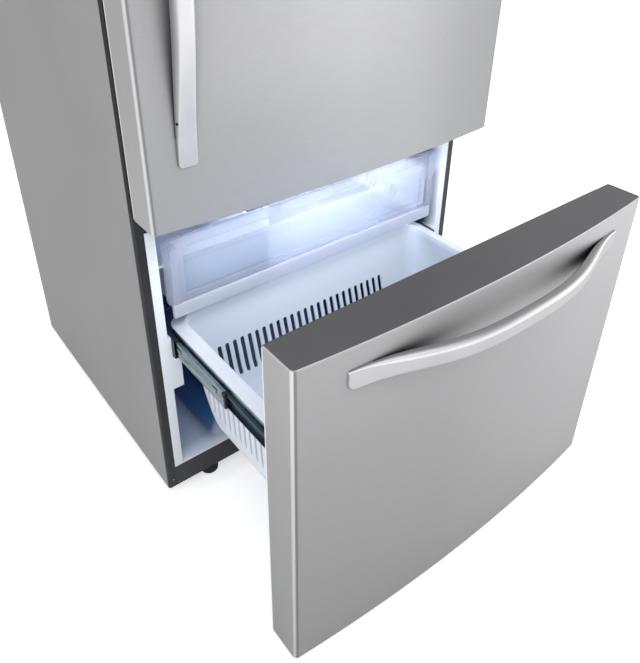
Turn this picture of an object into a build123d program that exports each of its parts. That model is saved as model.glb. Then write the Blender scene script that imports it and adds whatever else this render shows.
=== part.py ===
from build123d import *
import math
import os

# Bottom freezer refrigerator: one door over a pull-out freezer drawer.
# All sizes are in millimetres. X runs across the front, Y runs into the cabinet and Z is up.
# Places are worked out from the cabinet's front plane (Y = 0) and the floor (Z = 0). When a
# piece is written it moves along Y, so that the origin lies under the middle of the object.

# Cabinet
CASE_HALF_W = 416.0
CASE_DEPTH = 742.0
CASE_BOTTOM = 30.0
CASE_TOP = 1735.0
SHEET = 1.0
FLANGE_W = 20.0
CASE_EDGE_R = 6.0
BASE_TOP = 87.0
LINER_T = 2.5
CAVITY_HALF_W = 376.0
FREEZER_FLOOR = 92.0
FREEZER_TOP = 683.0
FRESH_FLOOR = 750.0
FRESH_TOP = 1680.0
FRESH_BACK = 680.0
CRISPER_Z0, CRISPER_Z1 = 753.0, 918.0
FREEZER_BACK = 640.0
DUCT_COVER_Y = 480.0

# Machine room, behind and below the freezer
ROOM_FRONT = 450.0
ROOM_TOP = 285.0
COVER_Y = 738.0
HUMP_FOOT_Y = 400.0
HUMP_TOP_Z = 345.0

# Blocks on the freezer walls that carry the drawer slides
BLOCK_BOTTOM = 306.0
RECESS_BOTTOM = 387.0
BLOCK_TOP = 437.0
BLOCK_X = 352.0
RECESS_X = 369.0

# Door and drawer fronts, as they are when closed
FRONT_REAR_Y = -15.0
FRONT_SIDE_T = 71.0
BOW = 22.0
FRONT_EDGE_R = 9.0
SKIN_T = 1.0
CAP_T = 4.0
DOOR_BOTTOM = 726.0
DOOR_TOP = 1738.0
DRAWER_BOTTOM = 37.0
DRAWER_TOP = 707.0
DRAWER_OUT = 390.0
GASKET_OUTER_X = 398.0
GASKET_W = 16.0
GASKET_GAP = 0.5

# Handles: bowed bars that taper down to thin ends on the fronts
HANDLE_W = 36.0
HANDLE_T = 17.0
HANDLE_END_T = 3.0
HANDLE_EDGE_R = 5.0
DRAWER_HANDLE_HALF = 327.0
DRAWER_HANDLE_RISE = 55.0
DRAWER_HANDLE_Z = 632.0
DOOR_HANDLE_X = -361.0
DOOR_HANDLE_Z0 = 838.0
DOOR_HANDLE_Z1 = 1642.0
DOOR_HANDLE_RISE = 40.0

# Hinge line of the door
PIN_X = 400.0
PIN_Y = -40.0
PIN_R = 6.0
BUSH_R = 6.1

# Drawer tub
TUB_T = 2.5
TUB_RIM_Z = 446.0
TUB_FRONT_Y = 10.0
TUB_BACK_R = 35.0
TUB_SLOTS = 25

# Upper tray and ice bin
TRAY_FLOOR = 475.0
TRAY_SIDE_X = 346.0
TRAY_BACK_Y = 368.0
TRAY_TOP = 600.0
TRAY_FRONT_TOP = 650.0
GUIDE_X = 350.0

# Feet
LEG_X = 302.0
LEG_Y = 24.0
LEG_R = 21.0

FRONT_MOST = FRONT_REAR_Y - FRONT_SIDE_T - BOW - DRAWER_HANDLE_RISE - DRAWER_OUT
MIDDLE_Y = (CASE_DEPTH + FRONT_MOST) / 2
SIDES = {"left": -1, "right": 1}

os.makedirs("parts", exist_ok=True)


def save(name, *solids, dy=0.0):
    """Write one sub-part, moved along Y by dy and by the offset of the origin."""
    loose = [solid for shape in solids for solid in shape.solids()]
    moved = [Pos(0, dy - MIDDLE_Y, 0) * solid for solid in loose]
    export_step(moved[0] if len(moved) == 1 else Compound(moved), f"parts/{name}.step")


def box(x0, x1, y0, y1, z0, z1):
    """A box from its lowest to its highest corner."""
    middle = Pos((x0 + x1) / 2, (y0 + y1) / 2, (z0 + z1) / 2)
    return middle * Box(x1 - x0, y1 - y0, z1 - z0)


def mirrored(side, x0, x1, y0, y1, z0, z1):
    """A box given on the right-hand side, put on the side with that sign."""
    return box(min(side * x0, side * x1), max(side * x0, side * x1), y0, y1, z0, z1)


def rod(axis, x, y, z, radius, length):
    """A cylinder from (x, y, z) along the positive axis "X", "Y" or "Z"."""
    turn = {"X": Rot(0, 90, 0), "Y": Rot(-90, 0, 0), "Z": Rot(0, 0, 0)}[axis]
    upright = Cylinder(radius, length, align=(Align.CENTER, Align.CENTER, Align.MIN))
    return Pos(x, y, z) * turn * upright


def section_xz(points, y0, y1, grow=0.0):
    """A solid with a cross-section in X and Z, between two planes of constant Y."""
    face = make_face(Polyline(*points, close=True))
    if grow:
        face = offset(face, amount=grow, kind=Kind.INTERSECTION)
    return Pos(0, y1, 0) * extrude(Plane.XZ * face, y1 - y0)


def section_yz(points, x0, x1, grow=0.0):
    """A solid with a cross-section in Y and Z, between two planes of constant X."""
    face = make_face(Polyline(*points, close=True))
    if grow:
        face = offset(face, amount=grow, kind=Kind.INTERSECTION)
    return Pos(x0, 0, 0) * extrude(Plane.YZ * face, x1 - x0)


def ring_xz(half_w, z0, z1, width, y0, y1):
    """A rectangular frame that stands in a plane of constant Y."""
    hole = box(width - half_w, half_w - width, y0, y1, z0 + width, z1 - width)
    return box(-half_w, half_w, y0, y1, z0, z1) - hole


# Cabinet case: painted steel wrap on both sides and the top, and a dark frame on its front edge
def rounded_case(half_w, y0, y1, z0, z1, radius):
    block = box(-half_w, half_w, y0, y1, z0, z1)
    edges = block.edges().filter_by(Axis.Z).group_by(Axis.Y)[0]
    return fillet(edges, radius)


inner_half = CASE_HALF_W - SHEET
case_outer = rounded_case(CASE_HALF_W, 0, CASE_DEPTH, CASE_BOTTOM, CASE_TOP, CASE_EDGE_R)
case_inner = rounded_case(inner_half, SHEET, CASE_DEPTH, CASE_BOTTOM, CASE_TOP - SHEET,
                          CASE_EDGE_R - SHEET)
case_shell = case_outer - case_inner
behind_edge = box(-500, 500, CASE_EDGE_R, CASE_DEPTH, 0, 2000)
save("side_and_top_wrap", case_shell & behind_edge)

flange_x = CASE_HALF_W - FLANGE_W
front_edge = case_shell & box(-500, 500, 0, CASE_EDGE_R, 0, 2000)
front_frame = front_edge - box(-flange_x, flange_x, 0, CASE_EDGE_R, 0, CASE_TOP - FLANGE_W)

base_wall = 2.0
base_depth = 18.0
base_front = box(-flange_x, flange_x, 0, base_depth, CASE_BOTTOM, BASE_TOP)
base_front -= box(-flange_x + base_wall, flange_x - base_wall, base_wall, base_depth,
                  CASE_BOTTOM + base_wall, BASE_TOP - base_wall)
save("base_front", base_front)

screw_z = 53.0
screw_x = 404.0
screws = [rod("Y", side * screw_x, -1.5, screw_z, 3.5, 1.5) for side in SIDES.values()]

# Floor panel under the freezer, and the steel pan that carries the machine room
bottom_panel = box(-inner_half, inner_half, base_depth, ROOM_FRONT, CASE_BOTTOM, CASE_BOTTOM + SHEET)
leg_holes = [rod("Z", side * LEG_X, LEG_Y, 0, 5.5, 72) for side in SIDES.values()]
nut_plates = [mirrored(side, LEG_X - 12, LEG_X + 12, base_depth, LEG_Y + 12,
                       CASE_BOTTOM + SHEET, CASE_BOTTOM + 14) for side in SIDES.values()]
for hole in leg_holes:
    bottom_panel -= hole

pan_t = 2.0
pan_top = CASE_BOTTOM + pan_t
room_pan = box(-inner_half, inner_half, ROOM_FRONT, CASE_DEPTH - 4, CASE_BOTTOM, pan_top)

# Outer back panel above the machine room
save("back_panel", box(-inner_half, inner_half, CASE_DEPTH - SHEET, CASE_DEPTH,
                       ROOM_TOP, CASE_TOP - SHEET))

# Freezer liner: vacuum-formed shell with slide blocks, a raised floor and a machine room hump
cavity_right = [
    (CAVITY_HALF_W, FREEZER_FLOOR), (CAVITY_HALF_W, BLOCK_BOTTOM), (BLOCK_X, BLOCK_BOTTOM),
    (BLOCK_X, RECESS_BOTTOM), (RECESS_X, RECESS_BOTTOM), (RECESS_X, BLOCK_TOP),
    (CAVITY_HALF_W, BLOCK_TOP), (CAVITY_HALF_W, FREEZER_TOP),
]
cavity_outline = cavity_right + [(-x, z) for x, z in reversed(cavity_right)]
cavity_side = [
    (0, FREEZER_FLOOR), (HUMP_FOOT_Y, FREEZER_FLOOR), (HUMP_FOOT_Y + 4, ROOM_TOP + 15),
    (DUCT_COVER_Y, HUMP_TOP_Z), (FREEZER_BACK, HUMP_TOP_Z), (FREEZER_BACK, FREEZER_TOP),
    (0, FREEZER_TOP),
]
PLATFORM_HALF_W = 290.0
PLATFORM_Y = 18.0
PLATFORM_TOP = 196.0


def platform(shrink):
    """The raised floor under the tub: a sloped block with rounded corners in plan."""
    half = PLATFORM_HALF_W - shrink
    foot = RectangleRounded(2 * half, 2 * (HUMP_FOOT_Y + 40 - PLATFORM_Y - shrink), 35)
    foot = Pos(0, HUMP_FOOT_Y + 40, FREEZER_FLOOR - LINER_T) * foot
    rise = PLATFORM_TOP - shrink - FREEZER_FLOOR + LINER_T
    return extrude(foot, rise, taper=math.degrees(math.atan(0.42)))


freezer_hole = section_xz(cavity_outline, -1, FREEZER_BACK) & section_yz(cavity_side, -400, 400)
freezer_shell = (section_xz(cavity_outline, 0, FREEZER_BACK + LINER_T, grow=LINER_T)
                 & section_yz(cavity_side, -400, 400, grow=LINER_T) & box(-400, 400, 0, 700, 0, 700))
freezer_bulk = freezer_shell + box(-flange_x, flange_x, 0, LINER_T, BASE_TOP, FREEZER_TOP + LINER_T)
platform_limit = box(-400, 400, 0, HUMP_FOOT_Y + 10, FREEZER_FLOOR - LINER_T, 400)
platform_outer = platform(0.0) & platform_limit
platform_inner = platform(LINER_T) & platform_limit
freezer_liner = freezer_bulk - (freezer_hole - platform_outer) - (platform_inner & freezer_hole)
freezer_liner -= platform_inner
freezer_liner -= box(-flange_x, flange_x, 0, base_depth, 0, BASE_TOP)
for side in SIDES.values():
    freezer_liner += mirrored(side, GUIDE_X, CAVITY_HALF_W + 1, 20, 470, TRAY_TOP - 10.5, TRAY_TOP - 4.5)
save("freezer_liner", freezer_liner)

# Fresh food liner, with moulded ribs on its side walls that carry the shelves
rib_levels = [930.0, 1120.0, 1340.0]
rib_out = 9.0
rib_h = 8.0
fresh_hole = box(-CAVITY_HALF_W, CAVITY_HALF_W, -1, FRESH_BACK, FRESH_FLOOR, FRESH_TOP)
fresh_edges = fresh_hole.edges().filter_by(Axis.Y)
fresh_hole = fillet(fresh_edges, 14)
outer_x = CAVITY_HALF_W + LINER_T
fresh_bulk = box(-outer_x, outer_x, 0, FRESH_BACK + LINER_T, FRESH_FLOOR - LINER_T, FRESH_TOP + LINER_T)
fresh_bulk = fillet(fresh_bulk.edges().filter_by(Axis.Y), 14 + LINER_T)
fresh_face = box(-flange_x, flange_x, 0, LINER_T, FRESH_FLOOR - LINER_T, CASE_TOP - FLANGE_W)
fresh_liner = fresh_bulk + fresh_face - fresh_hole
for side in SIDES.values():
    for level in rib_levels:
        fresh_liner += mirrored(side, CAVITY_HALF_W - rib_out, CAVITY_HALF_W + 1, 90, 600,
                                level - rib_h, level)
for x in (-330.0, -40.0, 40.0, 330.0):
    fresh_liner += box(x - 4, x + 4, 100, 570, FRESH_FLOOR - 1, CRISPER_Z0 - 0.3)
save("fresh_food_liner", fresh_liner)

# Mullion: steel bar between the two openings, where both gaskets land
mullion = box(-flange_x, flange_x, 0, 18, FREEZER_TOP + LINER_T, FRESH_FLOOR - LINER_T)
mullion -= box(-flange_x + 1.5, flange_x - 1.5, 1.5, 18, FREEZER_TOP + LINER_T + 1.5,
               FRESH_FLOOR - LINER_T - 1.5)
save("front_frame", front_frame, mullion, *screws)

# Foam insulation fills the space between the case and both liners
foam = box(-inner_half, inner_half, SHEET, CASE_DEPTH - SHEET, CASE_BOTTOM + SHEET, CASE_TOP - SHEET)
foam &= case_inner
foam -= box(-500, 500, ROOM_FRONT, 800, 0, ROOM_TOP)
foam -= fresh_bulk + fresh_face
foam -= freezer_bulk - (platform_inner - box(-400, 400, -1, 700, 0, FREEZER_FLOOR - LINER_T))
foam -= box(-flange_x, flange_x, 0, base_depth, 0, BASE_TOP)
foam -= box(-flange_x, flange_x, 0, 18, FREEZER_TOP, FRESH_FLOOR)
for plate, hole in zip(nut_plates, leg_holes):
    foam -= plate + hole
save("insulation_foam", foam)

# Wall between the insulation and the machine room
wall_t = 1.5
room_wall = section_yz([(ROOM_FRONT, pan_top), (ROOM_FRONT + wall_t, pan_top),
                        (ROOM_FRONT + wall_t, ROOM_TOP - wall_t), (COVER_Y, ROOM_TOP - wall_t),
                        (COVER_Y, ROOM_TOP), (ROOM_FRONT, ROOM_TOP)], -inner_half, inner_half)
save("base_panels", bottom_panel, room_pan, room_wall)

# Levelling legs: round pads on threaded stems, each in a steel nut plate
leg_profile = [(0, 0), (LEG_R - 4, 0), (LEG_R, 4), (LEG_R, 16), (LEG_R - 3, 24), (9, 29), (5.2, 29),
               (5.2, 70), (0, 70)]
leg_solid = revolve(Plane.XZ * make_face(Polyline(*leg_profile, close=True)), Axis.Z)
for name, side in SIDES.items():
    save(f"{name}_levelling_leg", Pos(side * LEG_X, LEG_Y, 0) * leg_solid)

# Rear rollers on short axles, in folded brackets under the pan
ROLLER_R = 14.0
ROLLER_X = 370.0
ROLLER_Y = 700.0
ROLLER_W = 20.0
AXLE_R = 4.0
brackets = []
axles = []
for name, side in SIDES.items():
    wheel = rod("X", side * ROLLER_X - ROLLER_W / 2, ROLLER_Y, ROLLER_R, ROLLER_R, ROLLER_W)
    wheel = fillet(wheel.edges().filter_by(GeomType.CIRCLE), 2.5)
    bore = rod("X", side * ROLLER_X - 20, ROLLER_Y, ROLLER_R, AXLE_R + 0.1, 40)
    save(f"{name}_rear_roller", wheel - bore)
    axles.append(rod("X", side * ROLLER_X - 15, ROLLER_Y, ROLLER_R, AXLE_R, 30))
    for x in (side * ROLLER_X - 14, side * ROLLER_X + 12):
        ear = box(x, x + 2, ROLLER_Y - 12, ROLLER_Y + 12, ROLLER_R - 7, CASE_BOTTOM)
        brackets.append(ear - rod("X", x - 1, ROLLER_Y, ROLLER_R, AXLE_R, 4))
drilled_nuts = [plate - hole for plate, hole in zip(nut_plates, leg_holes)]
save("roller_mounts", *brackets, *axles, *drilled_nuts)


# Fronts: a steel skin wrapped round the front and both sides, plastic end caps, foam and a
# formed liner behind
def front_plan(inset, rear_y):
    """Plan outline of a front: flat back and sides, bowed face and rounded corners."""
    half = CASE_HALF_W - inset
    side_y = FRONT_REAR_Y - FRONT_SIDE_T + inset
    straight = Polyline((-half, side_y), (-half, rear_y), (half, rear_y), (half, side_y))
    bow = ThreePointArc((half, side_y), (0, side_y - BOW), (-half, side_y))
    face = make_face([*straight.edges(), *bow.edges()])
    corners = [v for v in face.vertices() if abs(v.Y - side_y) < 0.01]
    return fillet(corners, FRONT_EDGE_R - inset)


def front_block(inset, rear_y, z0, z1):
    return Pos(0, 0, z0) * extrude(front_plan(inset, rear_y), z1 - z0)


REAR_PLATE_Y = FRONT_REAR_Y - LINER_T


def skin(z0, z1):
    return front_block(0, REAR_PLATE_Y, z0, z1) - front_block(SKIN_T, 0, z0 - 1, z1 + 1)


def end_cap(z0, z1):
    return front_block(SKIN_T, FRONT_REAR_Y, z0, z1)


def arc_bar(half, face_y, rise, depth):
    """Plan of a bowed bar: an outer arc with thin ends on the face, and an inner arc that meets it."""
    inner_half = 0.78 * half
    crown = face_y - rise
    end_y = face_y - HANDLE_END_T
    outer = ThreePointArc((-half, end_y), (0, crown), (half, end_y))
    chord = Polyline((half, end_y), (half, face_y + depth), (-half, face_y + depth), (-half, end_y))
    bar = make_face([*outer.edges(), *chord.edges()])
    inner = ThreePointArc((-inner_half, face_y), (0, crown + HANDLE_T), (inner_half, face_y))
    closing = Polyline((inner_half, face_y), (inner_half, face_y + 2 * depth),
                       (-inner_half, face_y + 2 * depth), (-inner_half, face_y))
    return bar - make_face([*inner.edges(), *closing.edges()])


def soften_bar(bar):
    """Round the two long outer edges of a handle bar."""
    arcs = [e for e in bar.edges().filter_by(GeomType.CIRCLE) if e.length > 500]
    return fillet(ShapeList(arcs).sort_by(SortBy.LENGTH)[-2:], HANDLE_EDGE_R)


def rear_panel(z0, z1):
    """The flat back of a front, between its two end caps."""
    return box(-CASE_HALF_W, CASE_HALF_W, REAR_PLATE_Y, FRONT_REAR_Y, z0 + CAP_T, z1 - CAP_T)


# Door liner: a flat rear panel with a raised frame, into which the bins clip
DYKE_X = 352.0
DYKE_W = 36.0
DYKE_Y = 55.0
DYKE_Z0 = 768.0
DYKE_Z1 = 1670.0


def dyke(shrink):
    """The raised frame of the door liner."""
    y0 = REAR_PLATE_Y - 1 if shrink else REAR_PLATE_Y
    half = DYKE_X - shrink
    outer = box(-half, half, y0, DYKE_Y - shrink, DYKE_Z0 + shrink, DYKE_Z1 - shrink)
    half = DYKE_X - DYKE_W + shrink
    rise = DYKE_W - shrink
    return outer - box(-half, half, y0, DYKE_Y, DYKE_Z0 + rise, DYKE_Z1 - rise)


door_liner = rear_panel(DOOR_BOTTOM, DOOR_TOP) + dyke(0) - dyke(LINER_T)
save("door_liner", door_liner)
save("door_skin", skin(DOOR_BOTTOM, DOOR_TOP))
bush_bore = rod("Z", PIN_X, PIN_Y, DOOR_BOTTOM - 5, BUSH_R, DOOR_TOP - DOOR_BOTTOM + 10)
bush_seat = rod("Z", PIN_X, PIN_Y, DOOR_BOTTOM - 5, 10, DOOR_TOP - DOOR_BOTTOM + 10)
bush_len = 20.0
door_caps = [end_cap(z, z + CAP_T) - bush_seat for z in (DOOR_BOTTOM, DOOR_TOP - CAP_T)]
bushes = [rod("Z", PIN_X, PIN_Y, z, 10, bush_len) - bush_bore
          for z in (DOOR_BOTTOM, DOOR_TOP - bush_len)]
save("door_end_caps", *door_caps, *bushes)
door_foam = front_block(SKIN_T, REAR_PLATE_Y, DOOR_BOTTOM + CAP_T, DOOR_TOP - CAP_T)
door_foam += dyke(LINER_T) & box(-500, 500, REAR_PLATE_Y, 100, 0, 2000)
save("door_foam", door_foam - bush_seat)


def gasket(z0, z1):
    """Magnetic seal: a wide lip on a narrower base."""
    lip_y = -GASKET_GAP
    lip = ring_xz(GASKET_OUTER_X, z0, z1, GASKET_W, -7.5, lip_y)
    base = ring_xz(GASKET_OUTER_X - 4, z0 + 4, z1 - 4, GASKET_W - 8, FRONT_REAR_Y, -7.5)
    return lip + base


save("door_gasket", gasket(731, 1712))

# Door handle: the same bowed bar as on the drawer, upright, near the free edge
door_face_y = (FRONT_REAR_Y - FRONT_SIDE_T
               - BOW * (1 - ((DOOR_HANDLE_X + HANDLE_W / 2) / CASE_HALF_W) ** 2))
door_handle_half = (DOOR_HANDLE_Z1 - DOOR_HANDLE_Z0) / 2
door_bar = extrude(arc_bar(door_handle_half, door_face_y, DOOR_HANDLE_RISE, 8), HANDLE_W)
door_bar = soften_bar(door_bar)
door_bar = Rot(0, -90, 0) * door_bar
door_bar = Pos(DOOR_HANDLE_X + HANDLE_W, 0, (DOOR_HANDLE_Z0 + DOOR_HANDLE_Z1) / 2) * door_bar
door_solid = front_block(0, REAR_PLATE_Y, DOOR_BOTTOM, DOOR_TOP)
set_screw_in = 78.0
door_screws = [rod("X", DOOR_HANDLE_X - 0.5, door_face_y - 6, z, 2.5, 6)
               for z in (DOOR_HANDLE_Z0 + set_screw_in, DOOR_HANDLE_Z1 - set_screw_in)]
door_handle = door_bar - door_solid
for screw in door_screws:
    door_handle -= screw
save("door_handle", door_handle, *door_screws)

# Drawer front
save("drawer_skin", skin(DRAWER_BOTTOM, DRAWER_TOP), dy=-DRAWER_OUT)
drawer_caps = [end_cap(z, z + CAP_T) for z in (DRAWER_BOTTOM, DRAWER_TOP - CAP_T)]
save("drawer_end_caps", *drawer_caps, dy=-DRAWER_OUT)
PANEL_X = 322.0
panel_out = 14.0
panel_z0, panel_z1 = 108.0, 664.0


def raised_panel(shrink):
    y0 = REAR_PLATE_Y
    return box(-PANEL_X + shrink, PANEL_X - shrink, y0, FRONT_REAR_Y + panel_out - shrink,
               panel_z0 + shrink, panel_z1 - shrink)


save("drawer_liner", rear_panel(DRAWER_BOTTOM, DRAWER_TOP) + raised_panel(0) - raised_panel(LINER_T),
     dy=-DRAWER_OUT)
drawer_foam = front_block(SKIN_T, REAR_PLATE_Y, DRAWER_BOTTOM + CAP_T, DRAWER_TOP - CAP_T)
save("drawer_foam", drawer_foam + raised_panel(LINER_T), dy=-DRAWER_OUT)
save("drawer_gasket", gasket(66, 693), dy=-DRAWER_OUT)
drawer_face_y = (FRONT_REAR_Y - FRONT_SIDE_T
                 - BOW * (1 - (DRAWER_HANDLE_HALF / CASE_HALF_W) ** 2))
bar_rise = DRAWER_HANDLE_RISE - (FRONT_REAR_Y - FRONT_SIDE_T - BOW - drawer_face_y)
drawer_bar = extrude(arc_bar(DRAWER_HANDLE_HALF, drawer_face_y, bar_rise, 26), HANDLE_W)
drawer_bar = Pos(0, 0, DRAWER_HANDLE_Z) * soften_bar(drawer_bar)
drawer_solid = front_block(0, REAR_PLATE_Y, DRAWER_BOTTOM, DRAWER_TOP)
drawer_screws = [rod("Z", side * (DRAWER_HANDLE_HALF - set_screw_in + 16), drawer_face_y - 14,
                     DRAWER_HANDLE_Z - 0.5, 2.5, 6) for side in SIDES.values()]
drawer_handle = drawer_bar - drawer_solid
for screw in drawer_screws:
    drawer_handle -= screw
save("drawer_handle", drawer_handle, *drawer_screws, dy=-DRAWER_OUT)

# Drawer slides: three nested steel channels on each side. The middle one moves half as far.
SLIDE_LEN = 400.0
SLIDE_T = 1.5
SLIDE_Z = 411.5


def channel(side, web_x, flange_x, half_h, y0, y1):
    """A channel with its web at web_x and both flanges reaching to flange_x."""
    toward = 1 if flange_x > web_x else -1
    web = mirrored(side, web_x, web_x + toward * SLIDE_T, y0, y1, SLIDE_Z - half_h, SLIDE_Z + half_h)
    shape = web
    for z in (SLIDE_Z - half_h, SLIDE_Z + half_h - SLIDE_T):
        shape += mirrored(side, web_x, flange_x, y0, y1, z, z + SLIDE_T)
    return shape


for name, side in SIDES.items():
    middle_member = channel(side, 364.5, 356.8, 19.5, 6, 5 + SLIDE_LEN)
    bumper = mirrored(side, 361.8, 364.5, 0, 6, SLIDE_Z - 20, SLIDE_Z + 20)
    save(f"{name}_slide_middle", middle_member, bumper, dy=-DRAWER_OUT / 2)
outer_members = [channel(side, RECESS_X, 357.5, 22.5, 10, 10 + SLIDE_LEN) for side in SIDES.values()]
save("slide_outer_members", *outer_members)

inner_rails = []
arms = []
for side in SIDES.values():
    inner_rails.append(channel(side, 353.5, 361.0, 16.0, 8, 8 + SLIDE_LEN))
    arm = mirrored(side, 351.5, 353.5, FRONT_REAR_Y, 405, 392, 438)
    arm += mirrored(side, 345.5, 353.5, 12, 405, 436, 438)
    arm += mirrored(side, 325, 353.5, FRONT_REAR_Y, FRONT_REAR_Y + 2, 362, 438)
    arms.append(arm)
save("drawer_side_rails", *inner_rails, *arms, dy=-DRAWER_OUT)

# Tub: a moulded white basket with a flat rim, drafted ribbed sides and slots in its back. Its shape
# is given as height, half width and back depth, from the flat bottom up to the rim.
TUB_LEVELS = [
    (206.0, 298.0, 296.0), (208.5, 307.7, 320.0), (213.0, 313.2, 334.0), (220.0, 317.1, 347.0),
    (228.0, 318.0, 357.0), (250.0, 319.0, 374.0), (285.0, 320.5, 390.0), (320.0, 322.0, 399.0),
    (TUB_RIM_Z, 327.0, 435.0),
]
RIM_LEVELS = [(438.0, 352.0), (440.0, 352.0), (TUB_RIM_Z, 329.0)]
RIM_FRONT_Y, RIM_BACK_Y, RIM_CORNER_R = 7.0, 446.0, 48.0
RIB_COUNT, RIB_PITCH, RIB_FIRST_Y, RIB_OUT, RIB_W = 16, 19.3, 50.6, 2.0, 4.0
RIB_LOW, RIB_HIGH = 254.0, 430.0
SLOT_PITCH, SLOT_FIRST_X, SLOT_H, SLOT_W, SLOT_Z = 19.2, -256.0, 82.0, 10.0, 309.0


def tub_body(wall, top):
    """The tub's space, shrunk by a wall: a stack of rounded plans joined by straight lines."""
    plans = []
    for z, half, back in TUB_LEVELS:
        level = top if z == TUB_RIM_Z else z + wall
        plan = RectangleRounded(2 * (half - wall), back - TUB_FRONT_Y - 2 * wall, TUB_BACK_R - wall)
        plans.append(Pos(0, (back + TUB_FRONT_Y) / 2, level) * plan)
    return loft(plans, ruled=True)


def rim_block(wall):
    """The rim's space, shrunk by a wall: rounded plans that slope inwards up to the top."""
    plans = []
    for z, half in RIM_LEVELS:
        slope = RIM_LEVELS[0][1] - half
        front, back = RIM_FRONT_Y + 0.2 * slope + wall, RIM_BACK_Y - 0.45 * slope - wall
        plan = RectangleRounded(2 * (half - wall), back - front, RIM_CORNER_R - 0.5 * slope - wall)
        plans.append(Pos(0, (back + front) / 2, z - wall) * plan)
    return loft(plans, ruled=True)


def tub_wall_x(z):
    """Half width of the tub's straight side wall at a height."""
    (z0, x0, _), (z1, x1, _) = TUB_LEVELS[4], TUB_LEVELS[-1]
    return x0 + (x1 - x0) * (z - z0) / (z1 - z0)


rim = rim_block(0.0) - rim_block(TUB_T)
tub_space = tub_body(TUB_T, TUB_RIM_Z + 1)
tub = tub_body(0.0, TUB_RIM_Z)
rib_low_x, rib_high_x = tub_wall_x(RIB_LOW), tub_wall_x(RIB_HIGH)
for n in range(RIB_COUNT):
    y = RIB_FIRST_Y + n * RIB_PITCH
    for side in SIDES.values():
        points = [(side * (rib_low_x - 1), RIB_LOW), (side * (rib_low_x + RIB_OUT), RIB_LOW + 3),
                  (side * (rib_high_x + RIB_OUT), RIB_HIGH), (side * (rib_high_x - 1), RIB_HIGH)]
        tub += section_xz(points, y - RIB_W / 2, y + RIB_W / 2)
tub -= tub_space
for n in range(TUB_SLOTS):
    slot = SlotOverall(SLOT_H, SLOT_W, rotation=90)
    tub -= Pos(SLOT_FIRST_X + n * SLOT_PITCH, RIM_BACK_Y, SLOT_Z) * extrude(Plane.XZ * slot, 100)
tub += rim - tub_space
save("freezer_tub", tub, dy=-DRAWER_OUT)

# Upper tray: clear plastic on two guides, with a clear framed front and a trim rail
TRAY_RIM_X = 362.0
TRAY_FRONT_Y = 4.0
TRAY_WALL = 3.0
tray_outer = box(-TRAY_SIDE_X, TRAY_SIDE_X, 16, TRAY_BACK_Y, TRAY_FLOOR, TRAY_TOP)
tray_outer = fillet(tray_outer.edges().filter_by(Axis.Y).group_by(Axis.Z)[0], 30)
tray_inner_x = TRAY_SIDE_X - TRAY_WALL
tray_inner = box(-tray_inner_x, tray_inner_x, 16, TRAY_BACK_Y - TRAY_WALL, TRAY_FLOOR + TRAY_WALL, TRAY_TOP)
tray_inner = fillet(tray_inner.edges().filter_by(Axis.Y).group_by(Axis.Z)[0], 27)
tray = tray_outer - tray_inner
for side in SIDES.values():
    tray += mirrored(side, tray_inner_x, TRAY_RIM_X, 16, TRAY_BACK_Y, TRAY_TOP - 4, TRAY_TOP)
for group_y in (130.0, 207.0, 284.0):
    for step in (-16.5, 0.0, 16.5):
        y = group_y + step
        tray -= box(-400, 400, y - 3, y + 3, TRAY_FLOOR + 10, TRAY_FLOOR + 42)
save("tray_body", tray)

RAIL_TOP = 506.0
window_x, window_z0, window_z1 = 322.0, 522.0, 628.0
tray_front = box(-TRAY_RIM_X, TRAY_RIM_X, TRAY_FRONT_Y, 16, RAIL_TOP, TRAY_FRONT_TOP)
tray_front += box(-TRAY_SIDE_X, TRAY_SIDE_X, 12, 16, TRAY_FLOOR, RAIL_TOP)
for y0, y1 in ((TRAY_FRONT_Y, TRAY_FRONT_Y + 4), (12.0, 16.0)):
    tray_front -= box(-window_x, window_x, y0, y1, window_z0, window_z1)
tray_rail = box(-354, 354, 2, 12, TRAY_FLOOR, RAIL_TOP)
tray_rail = fillet(tray_rail.edges().filter_by(Axis.X).group_by(Axis.Y)[0], 3)
save("tray_front", tray_front, tray_rail)

BIN_X0, BIN_X1, BIN_Y0, BIN_Y1 = -338.0, -112.0, 22.0, 300.0
ice_wall = 2.5
bin_low = TRAY_FLOOR + TRAY_WALL


def bin_space(wall, top):
    """The ice bin's space, with its two lower long edges rounded to clear the tray's corners."""
    face = make_face(Polyline((BIN_X0 + wall, bin_low + wall), (BIN_X1 - wall, bin_low + wall),
                              (BIN_X1 - wall, top), (BIN_X0 + wall, top), close=True))
    low = face.vertices().group_by(Axis.Y)[0]
    face = fillet(low, 25 - wall)
    return Pos(0, BIN_Y1 - wall, 0) * extrude(Plane.XZ * face, BIN_Y1 - BIN_Y0 - 2 * wall)


ice_bin = bin_space(0, 640) - bin_space(ice_wall, 641) - box(-400, 0, 70, 400, 585, 700)
save("ice_bin", ice_bin)

# Ice maker over the bin: a metal mould with end plates, a drive housing and a turning ejector
MOULD_Y, MOULD_Z = 165.0, 648.0
MOULD_X0, MOULD_X1 = -330.0, -116.0
ceiling = FREEZER_TOP
plate_t = 6.0
mould = box(MOULD_X0, MOULD_X1, MOULD_Y - 34, MOULD_Y + 34, MOULD_Z - 34, MOULD_Z)
mould -= rod("X", MOULD_X0 + plate_t, MOULD_Y, MOULD_Z, 25, MOULD_X1 - MOULD_X0 - 2 * plate_t)
for x in (MOULD_X0, MOULD_X1 - plate_t):
    mould += box(x, x + plate_t, MOULD_Y - 34, MOULD_Y + 34, MOULD_Z, ceiling)
mould -= rod("X", MOULD_X0 - 1, MOULD_Y, MOULD_Z, 4.1, MOULD_X1 - MOULD_X0 + 2)
drive = box(MOULD_X0 - 22, MOULD_X0, MOULD_Y - 45, MOULD_Y + 45, MOULD_Z - 40, ceiling)
drive = fillet(drive.edges().filter_by(Axis.X), 5)
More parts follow.
